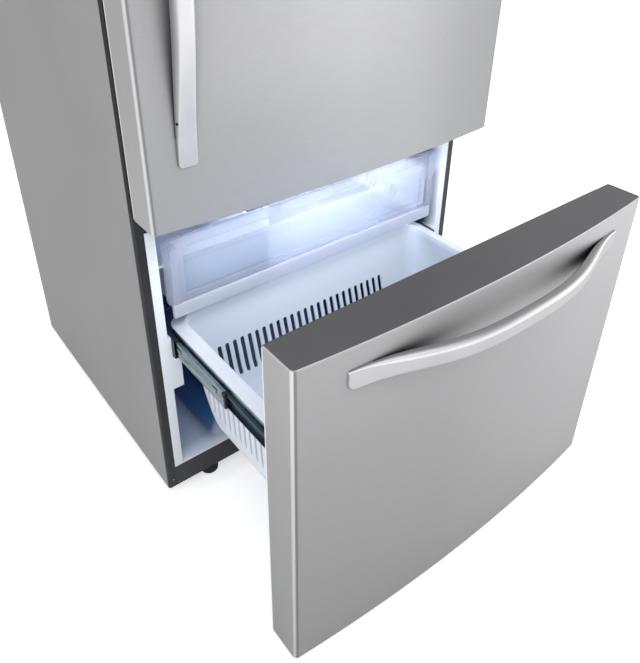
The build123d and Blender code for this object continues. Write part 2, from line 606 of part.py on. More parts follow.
save("ice_maker", mould, drive - rod("X", MOULD_X0 - 12, MOULD_Y, MOULD_Z, 4.1, 14))
ejector = rod("X", MOULD_X0 - 10, MOULD_Y, MOULD_Z, 4, MOULD_X1 - MOULD_X0 + 8)
finger_pitch = (MOULD_X1 - MOULD_X0 - 2 * plate_t) / 7
for n in range(7):
    x = MOULD_X0 + plate_t + (n + 0.5) * finger_pitch
    ejector += box(x - 2, x + 2, MOULD_Y - 3, MOULD_Y + 3, MOULD_Z, MOULD_Z + 21)
save("ice_ejector", ejector)

# Freezer back: duct cover with air slots, evaporator and its fan behind
cover_face = make_face(Polyline(*cavity_outline, close=True))
cover_face = offset(cover_face, amount=-0.4, kind=Kind.INTERSECTION)
duct_cover = Pos(0, DUCT_COVER_Y + 6, 0) * extrude(Plane.XZ * cover_face, 6)
duct_cover &= box(-400, 400, DUCT_COVER_Y, DUCT_COVER_Y + 6, HUMP_TOP_Z + 0.5, FREEZER_TOP)
for n in range(9):
    x = -48 + 12 * n
    duct_cover -= box(x - 3, x + 3, DUCT_COVER_Y - 1, DUCT_COVER_Y + 7, 552, 642)
for n in range(22):
    x = -252 + 24 * n
    duct_cover -= box(x - 4, x + 4, DUCT_COVER_Y - 1, DUCT_COVER_Y + 7, 366, 396)
save("freezer_duct_cover", duct_cover)

EVAP_Y = 545.0
evaporator = box(-262, -260, EVAP_Y, EVAP_Y + 60, 352, 512) + box(260, 262, EVAP_Y, EVAP_Y + 60, 352, 512)
for n in range(26):
    x = -250 + 20 * n
    evaporator += box(x, x + 1, EVAP_Y, EVAP_Y + 60, 352, 512)
for y in (EVAP_Y + 15, EVAP_Y + 45):
    for row in range(5):
        evaporator += rod("X", -272, y, 372 + 30 * row, 4.5, 544)
save("evaporator", evaporator)


def fan(hub_r, tip_r, depth, blades, shaft_r):
    """An axial fan about Z: a hub with a bore, and twisted flat blades cut to a circle."""
    hub = Cylinder(hub_r, depth)
    wheel = hub
    for n in range(blades):
        blade = Pos((hub_r + tip_r) / 2, 0, 0) * Rot(32, 0, 0) * Box(tip_r - hub_r + 8, 0.75 * tip_r, 2)
        wheel += Rot(0, 0, n * 360 / blades) * blade
    wheel &= Cylinder(tip_r, depth)
    return wheel - Pos(0, 0, -depth / 4) * Cylinder(shaft_r, depth)


FAN_Y, FAN_Z = 515.0, 597.0
save("evaporator_fan", Pos(0, FAN_Y, FAN_Z) * Rot(90, 0, 0) * fan(16, 50, 24, 5, 3.1))
shroud = rod("Y", 0, FAN_Y - 14, FAN_Z, 62, 28) - rod("Y", 0, FAN_Y - 15, FAN_Z, 54, 30)
strut_y = FAN_Y + 14
for dx, dz in ((62, 4), (4, 62)):
    shroud += box(-dx, dx, strut_y, strut_y + 5, FAN_Z - dz, FAN_Z + dz)
shroud += rod("Y", 0, strut_y + 5, FAN_Z, 22, 30)
for x in (-60, 56):
    shroud += box(x, x + 4, strut_y, FREEZER_BACK, FAN_Z - 8, FAN_Z + 8)
shroud += rod("Y", 0, FAN_Y - 4, FAN_Z, 3, 20)

# Machine room: compressor on rubber mounts, condenser, fan, drain pan and water valve
COMP_X, COMP_Y = 130.0, 590.0
shell_base = 50.0
compressor = rod("Z", COMP_X, COMP_Y, shell_base, 80, 162)
compressor = fillet(compressor.edges().filter_by(GeomType.CIRCLE), 30)
compressor += box(COMP_X - 100, COMP_X + 100, COMP_Y - 60, COMP_Y + 60, shell_base - 3, shell_base)
compressor += rod("Z", COMP_X, COMP_Y, shell_base, 52, 30)
compressor += rod("Z", COMP_X - 45, COMP_Y - 45, 150, 4, 78)
compressor += box(COMP_X + 60, COMP_X + 102, COMP_Y - 25, COMP_Y + 25, 90, 140)
mounts = []
for dx in (-88, 88):
    for dy in (-48, 48):
        mounts.append(rod("Z", COMP_X + dx, COMP_Y + dy, pan_top, 11, shell_base - 3 - pan_top))
save("compressor", compressor, *mounts)

COIL_R, COIL_BEND = 3.5, 15.0
coil_y0, coil_y1 = 478.0, 700.0
coil_points = []
for column in range(4):
    x = -372 + 44 * column
    levels = [60 + 34 * row for row in range(6)]
    if column % 2:
        levels.reverse()
    for row, z in enumerate(levels):
        ends = [coil_y0, coil_y1] if (row + column * 6) % 2 == 0 else [coil_y1, coil_y0]
        coil_points += [(x, y, z) for y in ends]
coil_path = FilletPolyline(*coil_points, radius=COIL_BEND)
coil_tube = sweep(Plane(coil_path @ 0, z_dir=coil_path % 0) * Circle(COIL_R), path=coil_path)
supports = []
for y in (510.0, 665.0):
    rail = box(-384, -228, y, y + 2, pan_top, 246)
    supports.append(rail - coil_tube)
save("condenser_coil", coil_tube, *supports)

COOL_X, COOL_Z = -150.0, 140.0
save("condenser_fan", Pos(COOL_X, COMP_Y, COOL_Z) * Rot(0, -90, 0) * fan(22, 74, 30, 5, 3.1))
cool = box(COOL_X - 18, COOL_X + 18, COMP_Y - 92, COMP_Y + 92, pan_top, 236)
cool -= box(COOL_X - 16, COOL_X + 19, COMP_Y - 90, COMP_Y + 90, pan_top, 234)
cool -= rod("X", COOL_X - 20, COMP_Y, COOL_Z, 79, 6)
motor_x = COOL_X + 20
cool += box(COOL_X + 18, motor_x + 4, COMP_Y - 92, COMP_Y + 92, COOL_Z - 7, COOL_Z + 7)
cool += rod("X", motor_x + 4, COMP_Y, COOL_Z, 26, 34)
cool += rod("X", COOL_X - 4, COMP_Y, COOL_Z, 3, 26)
save("fan_motors", shroud, cool)

pan_z = shell_base + 162
drain = box(40, 330, 470, 715, pan_z, pan_z + 34) - box(43, 327, 473, 712, pan_z + 3, pan_z + 35)
drain -= rod("Z", COMP_X - 45, COMP_Y - 45, 150, 4.5, 90)
save("drain_pan", drain)

valve = box(318, 368, 690, COVER_Y - 2, 60, 104)
valve = valve + rod("Y", 343, COVER_Y - 2, 84, 12.5, CASE_DEPTH - COVER_Y + 2)
valve += rod("Z", 330, 712, 104, 5, 26)
valve -= rod("Y", 343, COVER_Y - 8, 84, 6, 20)
valve += box(340, 346, 706, 712, pan_top, 60)
save("water_valve", valve)

gland_x, gland_z = -340.0, 72.0
gland = rod("Y", gland_x, COVER_Y - 4, gland_z, 9.5, 4) + rod("Y", gland_x, COVER_Y, gland_z, 9.5, 2)
gland += rod("Y", gland_x, COVER_Y + 2, gland_z, 13, 2)
gland -= rod("Y", gland_x, COVER_Y - 5, gland_z, 4, 12)

rear_cover = box(-inner_half, inner_half, COVER_Y, COVER_Y + 2, CASE_BOTTOM, ROOM_TOP)
for x0 in (-300.0, 40.0):
    for n in range(13):
        x = x0 + 18 * n
        rear_cover -= box(x, x + 7, COVER_Y - 1, COVER_Y + 3, 70, 220)
rear_cover -= rod("Y", 343, COVER_Y - 1, 84, 13, 4)
rear_cover -= rod("Y", gland_x, COVER_Y - 1, gland_z, 9.5, 4)
save("machine_room_cover", rear_cover, gland)

# Fresh food interior: framed glass shelves on the liner's ribs, and a cover over the crispers
SHELF_Y0, SHELF_Y1 = 112.0, 600.0
SHELF_X = 375.0
SHELF_H = 14.0
PANE_X = 364.0
pane_t = 4.0
frames = []
panes = []
for level in rib_levels[1:]:
    frame = box(-SHELF_X, SHELF_X, SHELF_Y0, SHELF_Y1, level, level + SHELF_H)
    frame -= box(18 - SHELF_X, SHELF_X - 18, SHELF_Y0 + 18, SHELF_Y1 - 18, level, level + SHELF_H)
    pane = box(-PANE_X, PANE_X, SHELF_Y0 + 11, SHELF_Y1 - 11, level + SHELF_H - pane_t, level + SHELF_H)
    frames.append(frame - pane)
    panes.append(pane)

level = rib_levels[0]
cover_y0 = SHELF_Y0 - 6
crisper_cover = box(-SHELF_X, SHELF_X, cover_y0, SHELF_Y1, level, level + 18)
crisper_cover -= box(24 - SHELF_X, SHELF_X - 24, cover_y0 + 30, SHELF_Y1 - 18, level, level + 18)
cover_pane = box(-PANE_X, PANE_X, cover_y0 + 24, SHELF_Y1 - 11, level + 18 - pane_t, level + 18)
crisper_cover -= cover_pane
SLIDER_X, SLIDER_TRAVEL = 185.0, 40.0
for side in SIDES.values():
    x = side * SLIDER_X
    crisper_cover -= box(x - 30, x + 30, cover_y0, cover_y0 + 5, level + 6, level + 12)
save("shelf_frames", *frames, crisper_cover)
save("shelf_glass", *panes, cover_pane)
for name, side in SIDES.items():
    x = side * SLIDER_X - SLIDER_TRAVEL / 2
    knob = box(x - 9, x + 9, cover_y0 - 6, cover_y0 - 0.5, level + 3, level + 15)
    knob = fillet(knob.edges().filter_by(Axis.Z).group_by(Axis.Y)[0], 2)
    tongue = box(x - 6, x + 6, cover_y0 - 1, cover_y0 + 4.5, level + 6.5, level + 11.5)
    save(f"{name}_humidity_slider", knob + tongue)

# Crispers: moulded drawers that run on low rails on the liner's floor
CRISPER_X0, CRISPER_X1 = 5.0, 362.0
CRISPER_Y0, CRISPER_Y1 = 112.0, 560.0
CRISPER_T = 3.0


def crisper_space(side, wall, top):
    space = mirrored(side, CRISPER_X0 + wall, CRISPER_X1 - wall, CRISPER_Y0 + wall, CRISPER_Y1 - wall,
                     CRISPER_Z0 + wall, top)
    return fillet(space.edges().filter_by(Axis.Z), 15 - wall)


for name, side in SIDES.items():
    crisper = crisper_space(side, 0, CRISPER_Z1) - crisper_space(side, CRISPER_T, CRISPER_Z1 + 1)
    crisper += mirrored(side, CRISPER_X0 + 60, CRISPER_X1 - 60, CRISPER_Y0 - 12, CRISPER_Y0 + 1,
                        CRISPER_Z1 - 4, CRISPER_Z1)
    crisper += mirrored(side, CRISPER_X0 + 60, CRISPER_X1 - 60, CRISPER_Y0 - 12, CRISPER_Y0 - 9,
                        CRISPER_Z1 - 26, CRISPER_Z1)
    save(f"{name}_crisper", crisper)

# Air tower on the back wall, lamps, and the control housing with its dial
tower = box(-110, 110, 640, FRESH_BACK, 960, 1640)
tower = fillet(tower.edges().filter_by(Axis.Z).group_by(Axis.Y)[0], 12)
tower -= box(-104, 104, 643, FRESH_BACK, 966, 1634)
for side in SIDES.values():
    for n in range(9):
        z = 1010 + 66 * n
        tower -= mirrored(side, 30, 84, 630, 650, z, z + 8)
save("air_tower", tower)

fresh_lens = box(-70, 70, 210, 270, FRESH_TOP - 12, FRESH_TOP)
fresh_lens = fillet(fresh_lens.edges().group_by(Axis.Z)[0], 5)
freezer_lens = box(60, 180, 70, 110, FREEZER_TOP - 9, FREEZER_TOP)
freezer_lens = fillet(freezer_lens.edges().group_by(Axis.Z)[0], 4)
save("lamp_lenses", fresh_lens, freezer_lens)

HOUSING_Y = 78.0
DIAL_X, DIAL_Z, DIAL_R = 70.0, 1658.0, 14.0
housing = box(-160, 160, HOUSING_Y, 180, 1636, FRESH_TOP)
housing = fillet(housing.edges().filter_by(Axis.X).group_by(Axis.Z)[0], 6)
housing -= box(-157, 157, HOUSING_Y + 3, 177, 1639, FRESH_TOP)
housing -= rod("Y", DIAL_X, HOUSING_Y - 1, DIAL_Z, 4.1, 5)
save("control_housing", housing)
dial = rod("Y", DIAL_X, HOUSING_Y - 12, DIAL_Z, DIAL_R, 11)
dial = fillet(dial.edges().filter_by(GeomType.CIRCLE).sort_by(Axis.Y)[0], 2)
dial += box(DIAL_X - 1.5, DIAL_X + 1.5, HOUSING_Y - 13.5, HOUSING_Y - 11, DIAL_Z, DIAL_Z + DIAL_R - 2)
save("temperature_dial", dial + rod("Y", DIAL_X, HOUSING_Y - 2, DIAL_Z, 4, 9))

# Door bins and the dairy box with its clear flap
BIN_X = DYKE_X - DYKE_W
BIN_DEPTH_Y = 80.0
bin_t = 3.0
door_bins = []
for z0, z1 in ((806.0, 916.0), (1030.0, 1130.0), (1250.0, 1350.0)):
    door_bin = box(-BIN_X, BIN_X, FRONT_REAR_Y, BIN_DEPTH_Y, z0, z1)
    door_bin = fillet(door_bin.edges().filter_by(Axis.Z).group_by(Axis.Y)[-1], 16)
    space = box(bin_t - BIN_X, BIN_X - bin_t, FRONT_REAR_Y + bin_t, BIN_DEPTH_Y - bin_t, z0 + bin_t, z1 + 1)
    door_bin -= fillet(space.edges().filter_by(Axis.Z).group_by(Axis.Y)[-1], 13)
    door_bin -= box(-BIN_X, BIN_X, FRONT_REAR_Y, FRONT_REAR_Y + 30, z1 - 40, z1 + 1) & (
        box(8 - BIN_X, BIN_X - 8, -100, 100, 0, 2000))
    door_bins.append(door_bin)
save("door_bins", *door_bins)

DAIRY_X0, DAIRY_X1 = -BIN_X, -20.0
DAIRY_Z0, DAIRY_Z1 = 1490.0, 1604.0
DAIRY_Y = 66.0
FLAP_Y, FLAP_Z = 72.0, 1596.0
dairy = box(DAIRY_X0, DAIRY_X1, FRONT_REAR_Y, DAIRY_Y, DAIRY_Z0, DAIRY_Z1)
dairy -= box(DAIRY_X0 + 3, DAIRY_X1 - 3, FRONT_REAR_Y + 3, DAIRY_Y + 1, DAIRY_Z0 + 3, DAIRY_Z1 - 3)
for x in (DAIRY_X0, DAIRY_X1 - 4):
    ear = box(x, x + 4, DAIRY_Y - 1, FLAP_Y + 6, FLAP_Z - 8, DAIRY_Z1)
    dairy += ear - rod("X", x - 1, FLAP_Y, FLAP_Z, 2.6, 6)
dairy += box(DAIRY_X1 - 4, BIN_X, FRONT_REAR_Y, FRONT_REAR_Y + 3, DAIRY_Z0, DAIRY_Z0 + 30)
save("dairy_box", dairy)
flap = box(DAIRY_X0 + 5, DAIRY_X1 - 5, FLAP_Y - 2, FLAP_Y + 1, DAIRY_Z0 + 4, FLAP_Z)
flap += rod("X", DAIRY_X0 + 5, FLAP_Y, FLAP_Z, 4, DAIRY_X1 - DAIRY_X0 - 10)
flap += rod("X", DAIRY_X0 + 1, FLAP_Y, FLAP_Z, 2.5, DAIRY_X1 - DAIRY_X0 - 2)
flap += box(-200, -136, FLAP_Y + 1, FLAP_Y + 7, DAIRY_Z0 + 4, DAIRY_Z0 + 8)
save("dairy_flap", flap)

# Hinges: a top bracket under a plastic cover, and a middle bracket between door and drawer
top_plate = box(352, 412, 8, 110, CASE_TOP, CASE_TOP + 4)
top_plate += box(384, 412, 4, 8 + 4, CASE_TOP, CASE_TOP + 12)
top_plate += box(384, 412, PIN_Y - 14, 12, CASE_TOP + 8, CASE_TOP + 12)
top_plate += rod("Z", PIN_X, PIN_Y, DOOR_TOP - 16, PIN_R, CASE_TOP + 10 - DOOR_TOP + 16)
for y in (40.0, 90.0):
    for x in (366.0, 398.0):
        top_plate += rod("Z", x, y, CASE_TOP + 4, 6, 4)

COVER_TOP = 1770.0
lid = box(340, 415, PIN_Y - 18, 118, CASE_TOP, COVER_TOP)
lid = fillet(lid.edges().filter_by(Axis.Z), 12)
lid = fillet(lid.edges().group_by(Axis.Z)[-1], 5)
lid -= box(343, 412.5, PIN_Y - 15, 115, CASE_TOP - 1, COVER_TOP - 3)
lid -= box(330, 420, -100, 3, CASE_TOP - 1, DOOR_TOP + 3)
save("hinge_cover", lid)

middle_plate = box(382, 415, PIN_Y - 14, 0, 714, 718)
middle_plate += box(400, 415, -3, 0, 690, 745)
middle_plate += rod("Z", PIN_X, PIN_Y, 716, PIN_R, DOOR_BOTTOM - 716 + 16)
middle_plate += rod("Z", PIN_X, PIN_Y, 718, 9, 7)
save("hinge_brackets", top_plate, middle_plate)
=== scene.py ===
import math

import bmesh
import bpy
import numpy as np
from mathutils import Matrix, Vector


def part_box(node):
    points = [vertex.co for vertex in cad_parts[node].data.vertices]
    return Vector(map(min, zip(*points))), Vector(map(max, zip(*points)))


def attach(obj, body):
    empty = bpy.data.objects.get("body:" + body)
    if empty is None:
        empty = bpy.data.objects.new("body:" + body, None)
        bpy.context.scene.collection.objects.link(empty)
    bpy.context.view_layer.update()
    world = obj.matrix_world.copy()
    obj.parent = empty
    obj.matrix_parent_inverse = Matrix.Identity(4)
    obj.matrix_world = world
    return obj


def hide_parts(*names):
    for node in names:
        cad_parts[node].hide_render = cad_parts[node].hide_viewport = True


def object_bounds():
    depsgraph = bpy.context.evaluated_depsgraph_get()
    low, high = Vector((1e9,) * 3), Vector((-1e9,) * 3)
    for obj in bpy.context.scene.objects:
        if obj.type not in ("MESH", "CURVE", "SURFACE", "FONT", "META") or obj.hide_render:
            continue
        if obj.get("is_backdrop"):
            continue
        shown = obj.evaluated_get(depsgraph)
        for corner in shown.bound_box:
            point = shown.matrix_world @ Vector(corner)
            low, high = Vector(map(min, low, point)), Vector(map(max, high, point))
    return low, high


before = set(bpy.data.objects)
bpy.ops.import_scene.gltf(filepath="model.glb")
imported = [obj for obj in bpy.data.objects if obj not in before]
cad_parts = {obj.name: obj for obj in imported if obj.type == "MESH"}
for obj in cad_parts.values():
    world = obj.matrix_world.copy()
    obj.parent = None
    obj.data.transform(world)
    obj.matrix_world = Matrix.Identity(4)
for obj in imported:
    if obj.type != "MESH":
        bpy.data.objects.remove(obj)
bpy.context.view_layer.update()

MM = 0.001

# The view. The camera stands high at the left front and looks down into the open freezer drawer. The
# light is a plain bright room with three soft lamps. Floor and room are lifted to white where they are
# seen directly or through clear parts, and the floor keeps the object's shadow.
CAMERA_PLACE = (-0.81532, -1.12858, 1.31603)
CAMERA_TURNS = (math.radians(38.42), math.radians(30.62), math.radians(0.77))
CAMERA_NEAR = 0.02
IMAGE_SIZE = (640, 663)
FOCAL_PIXELS, CENTRE_ROW = 697.87, 238
SENSOR = 36.0
FLOOR_REACH = 8.0
FLOOR_GLOW = 0.55


def linear(code):
    """An sRGB hex colour as linear red, green, blue and full opacity."""
    part = np.array([int(code[i:i + 2], 16) for i in (1, 3, 5)]) / 255
    return (*np.where(part <= 0.04045, part / 12.92, ((part + 0.055) / 1.055) ** 2.4), 1.0)


def add(tree, kind, inputs=None, **settings):
    """Adds one node to a tree, with its settings, and its inputs as values or links."""
    made = tree.nodes.new(kind)
    for key, value in settings.items():
        setattr(made, key, value)
    for key, value in (inputs or {}).items():
        if isinstance(value, bpy.types.NodeSocket):
            tree.links.new(value, made.inputs[key])
        else:
            made.inputs[key].default_value = value
    return made


def look_direction(yaw, pitch, roll):
    """The camera's axes as matrix columns: right, up and backwards, from three turns."""
    forward = np.array([math.sin(yaw) * math.cos(pitch), math.cos(yaw) * math.cos(pitch), -math.sin(pitch)])
    right = np.array([math.cos(yaw), -math.sin(yaw), 0.0])
    up = np.cross(right, forward)
    turned_right = right * math.cos(roll) + up * math.sin(roll)
    turned_up = up * math.cos(roll) - right * math.sin(roll)
    return Matrix(np.column_stack([turned_right, turned_up, -forward]).tolist())


camera = bpy.data.objects.new("camera", bpy.data.cameras.new("camera"))
bpy.context.scene.collection.objects.link(camera)
bpy.context.scene.camera = camera
camera.data.sensor_width = SENSOR
camera.data.lens = FOCAL_PIXELS * SENSOR / max(IMAGE_SIZE)
camera.data.shift_y = (CENTRE_ROW - IMAGE_SIZE[1] / 2) / max(IMAGE_SIZE)
camera.data.clip_start = CAMERA_NEAR
camera.matrix_world = Matrix.Translation(CAMERA_PLACE) @ look_direction(*CAMERA_TURNS).to_4x4()


def reckoned(tree, operation, *values):
    """The result of one step of arithmetic on sockets or numbers."""
    return add(tree, "ShaderNodeMath", dict(enumerate(values)), operation=operation).outputs[0]


def seen_directly(tree):
    """1 on rays that reach the camera straight or through a clear part, and 0 on all others."""
    rays = add(tree, "ShaderNodeLightPath").outputs
    return reckoned(tree, "MAXIMUM", rays["Is Camera Ray"], rays["Is Transmission Ray"])


scene = bpy.context.scene
scene.view_settings.view_transform = "Standard"
world = bpy.data.worlds.new("bright_room")
scene.world = world
world.use_nodes = True
tree = world.node_tree
tree.nodes.clear()
room = add(tree, "ShaderNodeBackground", {"Color": linear("#f6f6f7")})
white = add(tree, "ShaderNodeBackground", {"Color": (1, 1, 1, 1)})
mixed = add(tree, "ShaderNodeMixShader", {0: seen_directly(tree), 1: room.outputs[0], 2: white.outputs[0]})
add(tree, "ShaderNodeOutputWorld", {"Surface": mixed.outputs[0]})


def soft_lamp(name, place, aim, size, power, colour, hidden=False):
    """A rectangular area lamp at a place, turned to face its aim. The camera shows no lamp, and glossy
    surfaces don't show a hidden one."""
    data = bpy.data.lights.new(name, "AREA")
    data.shape = "RECTANGLE"
    data.size, data.size_y = size
    data.energy = power
    data.color = linear(colour)[:3]
    lamp = bpy.data.objects.new(name, data)
    bpy.context.scene.collection.objects.link(lamp)
    away = Vector(place) - Vector(aim)
    lamp.matrix_world = Matrix.Translation(place) @ away.to_track_quat("Z", "Y").to_matrix().to_4x4()
    lamp.visible_camera = False
    lamp.visible_glossy = not hidden


soft_lamp("overhead_lamp", (-0.4, -1.6, 3.2), (0.0, 0.0, 0.8), (2.6, 2.0), 46, "#ffffff")
soft_lamp("side_lamp", (3.0, -2.0, 1.8), (0.0, -0.3, 0.9), (1.6, 2.4), 26, "#fbfcff")
soft_lamp("left_lamp", (-1.7, -1.3, 0.9), (-0.4, -0.3, 0.4), (1.2, 1.2), 4.5, "#ffffff")


def new_material(name):
    """An empty node material and its tree."""
    made = bpy.data.materials.new(name)
    made.use_nodes = True
    made.node_tree.nodes.clear()
    return made, made.node_tree


floor_finish, tree = new_material("matt_floor_sheet")
matt = add(tree, "ShaderNodeBsdfDiffuse", {"Color": linear("#e2e2e2")})
glow = add(tree, "ShaderNodeEmission", {"Color": (1, 1, 1, 1), "Strength": FLOOR_GLOW})
lifted = add(tree, "ShaderNodeAddShader", {0: matt.outputs[0], 1: glow.outputs[0]})
mixed = add(tree, "ShaderNodeMixShader", {0: seen_directly(tree), 1: matt.outputs[0], 2: lifted.outputs[0]})
add(tree, "ShaderNodeOutputMaterial", {"Surface": mixed.outputs[0]})

floor_mesh = bpy.data.meshes.new("floor")
floor_mesh.from_pydata([(-FLOOR_REACH, -FLOOR_REACH, 0), (FLOOR_REACH, -FLOOR_REACH, 0),
                        (FLOOR_REACH, FLOOR_REACH, 0), (-FLOOR_REACH, FLOOR_REACH, 0)],
                       [], [(0, 1, 2, 3)])
floor = bpy.data.objects.new("floor", floor_mesh)
bpy.context.scene.collection.objects.link(floor)
floor_mesh.materials.append(floor_finish)
floor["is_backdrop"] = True

# Case wrap: one folded sheet of prepainted steel makes both sides and the top. Its paint is rolled
# on the coil and embossed with a very fine orange-peel grain; the front edge is folded to a small radius.
CLOUD_SPAN = (0.3, 0.7)


def grained(tree, inputs, grain_mm, depth_mm, stretch=(1, 1, 1), edge_mm=0.0):
    """A shader whose surface has noise bumps of this size and depth; stretch draws them out, and
    edges are shaded as if rolled to a radius."""
    place = add(tree, "ShaderNodeTexCoord")
    drawn = add(tree, "ShaderNodeMapping", {"Vector": place.outputs["Object"], "Scale": stretch})
    noise = add(tree, "ShaderNodeTexNoise", {"Vector": drawn.outputs[0], "Scale": 1000 / grain_mm,
                                             "Detail": 2.0, "Roughness": 0.5})
    relief = {"Height": noise.outputs["Fac"], "Distance": depth_mm * MM, "Strength": 1.0}
    if edge_mm:
        relief["Normal"] = add(tree, "ShaderNodeBevel", {"Radius": edge_mm * MM}, samples=4).outputs[0]
    bump = add(tree, "ShaderNodeBump", relief)
    shader = add(tree, "ShaderNodeBsdfPrincipled", {**inputs, "Normal": bump.outputs[0]})
    add(tree, "ShaderNodeOutputMaterial", {"Surface": shader.outputs[0]})
    return place, shader


def between(tree, value, low, high, start=0.0, end=1.0, clamp=True):
    """A straight line from start, where a value is at low, to end, where it is at high."""
    return add(tree, "ShaderNodeMapRange", {"Value": value, 1: low, 2: high, 3: start, 4: end},
               clamp=clamp).outputs[0]


def ramp(tree, value, stops):
    """A colour ramp over a value, from stops of (value, hex colour) in rising order."""
    low, high = stops[0][0], stops[-1][0]
    made = add(tree, "ShaderNodeValToRGB", {"Fac": between(tree, value, low, high)})
    ends = made.color_ramp.elements
    ends[0].color, ends[1].color = linear(stops[0][1]), linear(stops[-1][1])
    for level, colour in stops[1:-1]:
        ends.new((level - low) / (high - low)).color = linear(colour)
    return made.outputs["Color"]


def clouded(tree, place, shader, dark, light, patch_mm, rough_low, rough_high):
    """Drifts a shader's colour and roughness between two values over large patches."""
    cloud = add(tree, "ShaderNodeTexNoise", {"Vector": place.outputs["Object"], "Scale": 1000 / patch_mm,
                                             "Detail": 3.0}).outputs["Fac"]
    tint = ramp(tree, cloud, [(CLOUD_SPAN[0], dark), (CLOUD_SPAN[1], light)])
    tree.links.new(tint, shader.inputs["Base Color"])
    tree.links.new(between(tree, cloud, *CLOUD_SPAN, rough_low, rough_high), shader.inputs["Roughness"])
    return tint


def coated(name, inputs, grain, tone, rough, edge_mm=0.0):
    """A plain material. Grain is its size, its depth and how it is drawn out, tone is two colours and
    the size of their patches, and rough is the two ends of the roughness."""
    made, tree = new_material(name)
    place, shader = grained(tree, inputs, *grain, edge_mm=edge_mm)
    clouded(tree, place, shader, *tone, *rough)
    return made


def dress(material, *nodes):
    """Gives CAD nodes this material in all their material slots."""
    for node in nodes:
        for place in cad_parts[node].material_slots:
            place.material = material


case_paint = coated("prepainted_steel_grey", {"IOR": 1.5}, (0.9, 0.05),
                    ("#89898a", "#929293", 260), (0.42, 0.5), edge_mm=1.0)
dress(case_paint, "side_and_top_wrap")

# Front frame: the folded front edge of the case and the bar between the two openings, in dark satin
# enamel. Behind the shut door it stands in a narrow gap, and there painted shade turns its colour nearly
# black.
GAP_Z = (0.705, 0.735)


def blended(tree, share, first, second, kind="MIX"):
    """Two colours mixed by a share; each is a socket or a linear colour."""
    return add(tree, "ShaderNodeMix", {"Factor": share, 6: first, 7: second}, data_type="RGBA",
               blend_type=kind).outputs[2]


def axes(tree, place, kind="Object"):
    """The X, Y and Z sockets of the object's own coordinates, or of its surface normal."""
    return add(tree, "ShaderNodeSeparateXYZ", {"Vector": place.outputs[kind]}).outputs


frame_paint, tree = new_material("dark_satin_enamel")
place, shader = grained(tree, {"IOR": 1.5}, 0.7, 0.03, edge_mm=1.2)
tint = clouded(tree, place, shader, "#262628", "#2d2d2f", 120, 0.36, 0.44)
# Painted shade: between these heights, in the gap behind the shut door, the enamel is coloured nearly
# black.
gap_shade_share = between(tree, axes(tree, place)["Z"], *GAP_Z)
tree.links.new(blended(tree, gap_shade_share, tint, linear("#0d0d0e")), shader.inputs["Base Color"])
dress(frame_paint, "front_frame")

# Kick plate and small controls: charcoal ABS, moulded with a fine spark-eroded grain. The plate closes
# the foot of the case; the humidity sliders and the temperature dial are moulded in the same plastic.
base_plastic = coated("moulded_abs_charcoal", {"IOR": 1.53}, (0.6, 0.04),
                      ("#323234", "#38383a", 90), (0.42, 0.5), edge_mm=1.0)
dress(base_plastic, "base_front", "left_humidity_slider", "right_humidity_slider", "temperature_dial")

# Floor panel, back panel, roller brackets and machine room cover: galvanised sheet with its spangle,
# cut and folded, and screwed to the case.
SPANGLE_MM = 5.0
galvanised, tree = new_material("galvanised_sheet")
place = add(tree, "ShaderNodeTexCoord")
spangle = add(tree, "ShaderNodeTexVoronoi", {"Vector": place.outputs["Object"],
                                             "Scale": 1000 / SPANGLE_MM}).outputs["Color"]
rolled = add(tree, "ShaderNodeBevel", {"Radius": 0.8 * MM}, samples=4)
shader = add(tree, "ShaderNodeBsdfPrincipled", {
    "Base Color": ramp(tree, spangle, [(0, "#94979a"), (1, "#a2a5a7")]), "Metallic": 1.0,
    "Roughness": between(tree, spangle, 0, 1, 0.38, 0.52), "Normal": rolled.outputs[0]})
add(tree, "ShaderNodeOutputMaterial", {"Surface": shader.outputs[0]})
dress(galvanised, "base_panels", "back_panel", "roller_mounts", "machine_room_cover")

# Freezer liner and duct cover: vacuum-formed polystyrene sheet, glossy white at the flange. Inside,
# shade and the lamp's blue light are painted into its colour: blue low down, dark navy low at the left,
# and dark navy in the narrow gaps at the side walls.
FRONT_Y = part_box("base_front")[0].y
SHADE_START_Y, SHADE_FULL_Y = FRONT_Y + 3 * MM, FRONT_Y + 40 * MM
STEP_Z = (0.445, 0.47)
SHADE_X = (-0.25, -0.31)
LOW_WALL_SHADE = [(0.09, "#c9ced3"), (0.096, "#7690b0"), (0.105, "#5484b6"), (0.15, "#559ad4"), (0.2, "#468cd8"),
            (0.32, "#3a7ccc"), (0.44, "#2265bc")]
UPPER_WALL_SHADE = [(-0.372, "#1b3558"), (-0.366, "#cfdaea"), (0.1, "#d9dfe8"), (0.355, "#d4dbe5"),
              (0.366, "#9aa8bb"), (0.372, "#1b3558")]
freezer_sheet, tree = new_material("vacuum_formed_polystyrene")
place, shader = grained(tree, {"IOR": 1.59}, 6.0, 0.004, edge_mm=3.0)
tint = clouded(tree, place, shader, "#e0e6ec", "#e5eaf0", 150, 0.26, 0.34)
aside, deep, height = axes(tree, place)
# Painted shade and painted blue light: below the step the colour follows the height and goes dark navy at
# the left; above it, the side walls go dark navy at the gaps, and the inside starts a little behind the
# flange.
low_shade = blended(tree, between(tree, aside, *SHADE_X), linear("#0b1d38"), ramp(tree, height, LOW_WALL_SHADE))
wall_shade = blended(tree, between(tree, height, *STEP_Z), low_shade, ramp(tree, aside, UPPER_WALL_SHADE))
tone = blended(tree, between(tree, deep, SHADE_START_Y, SHADE_FULL_Y), tint, wall_shade)
tree.links.new(tone, shader.inputs["Base Color"])
dress(freezer_sheet, "freezer_liner", "freezer_duct_cover")

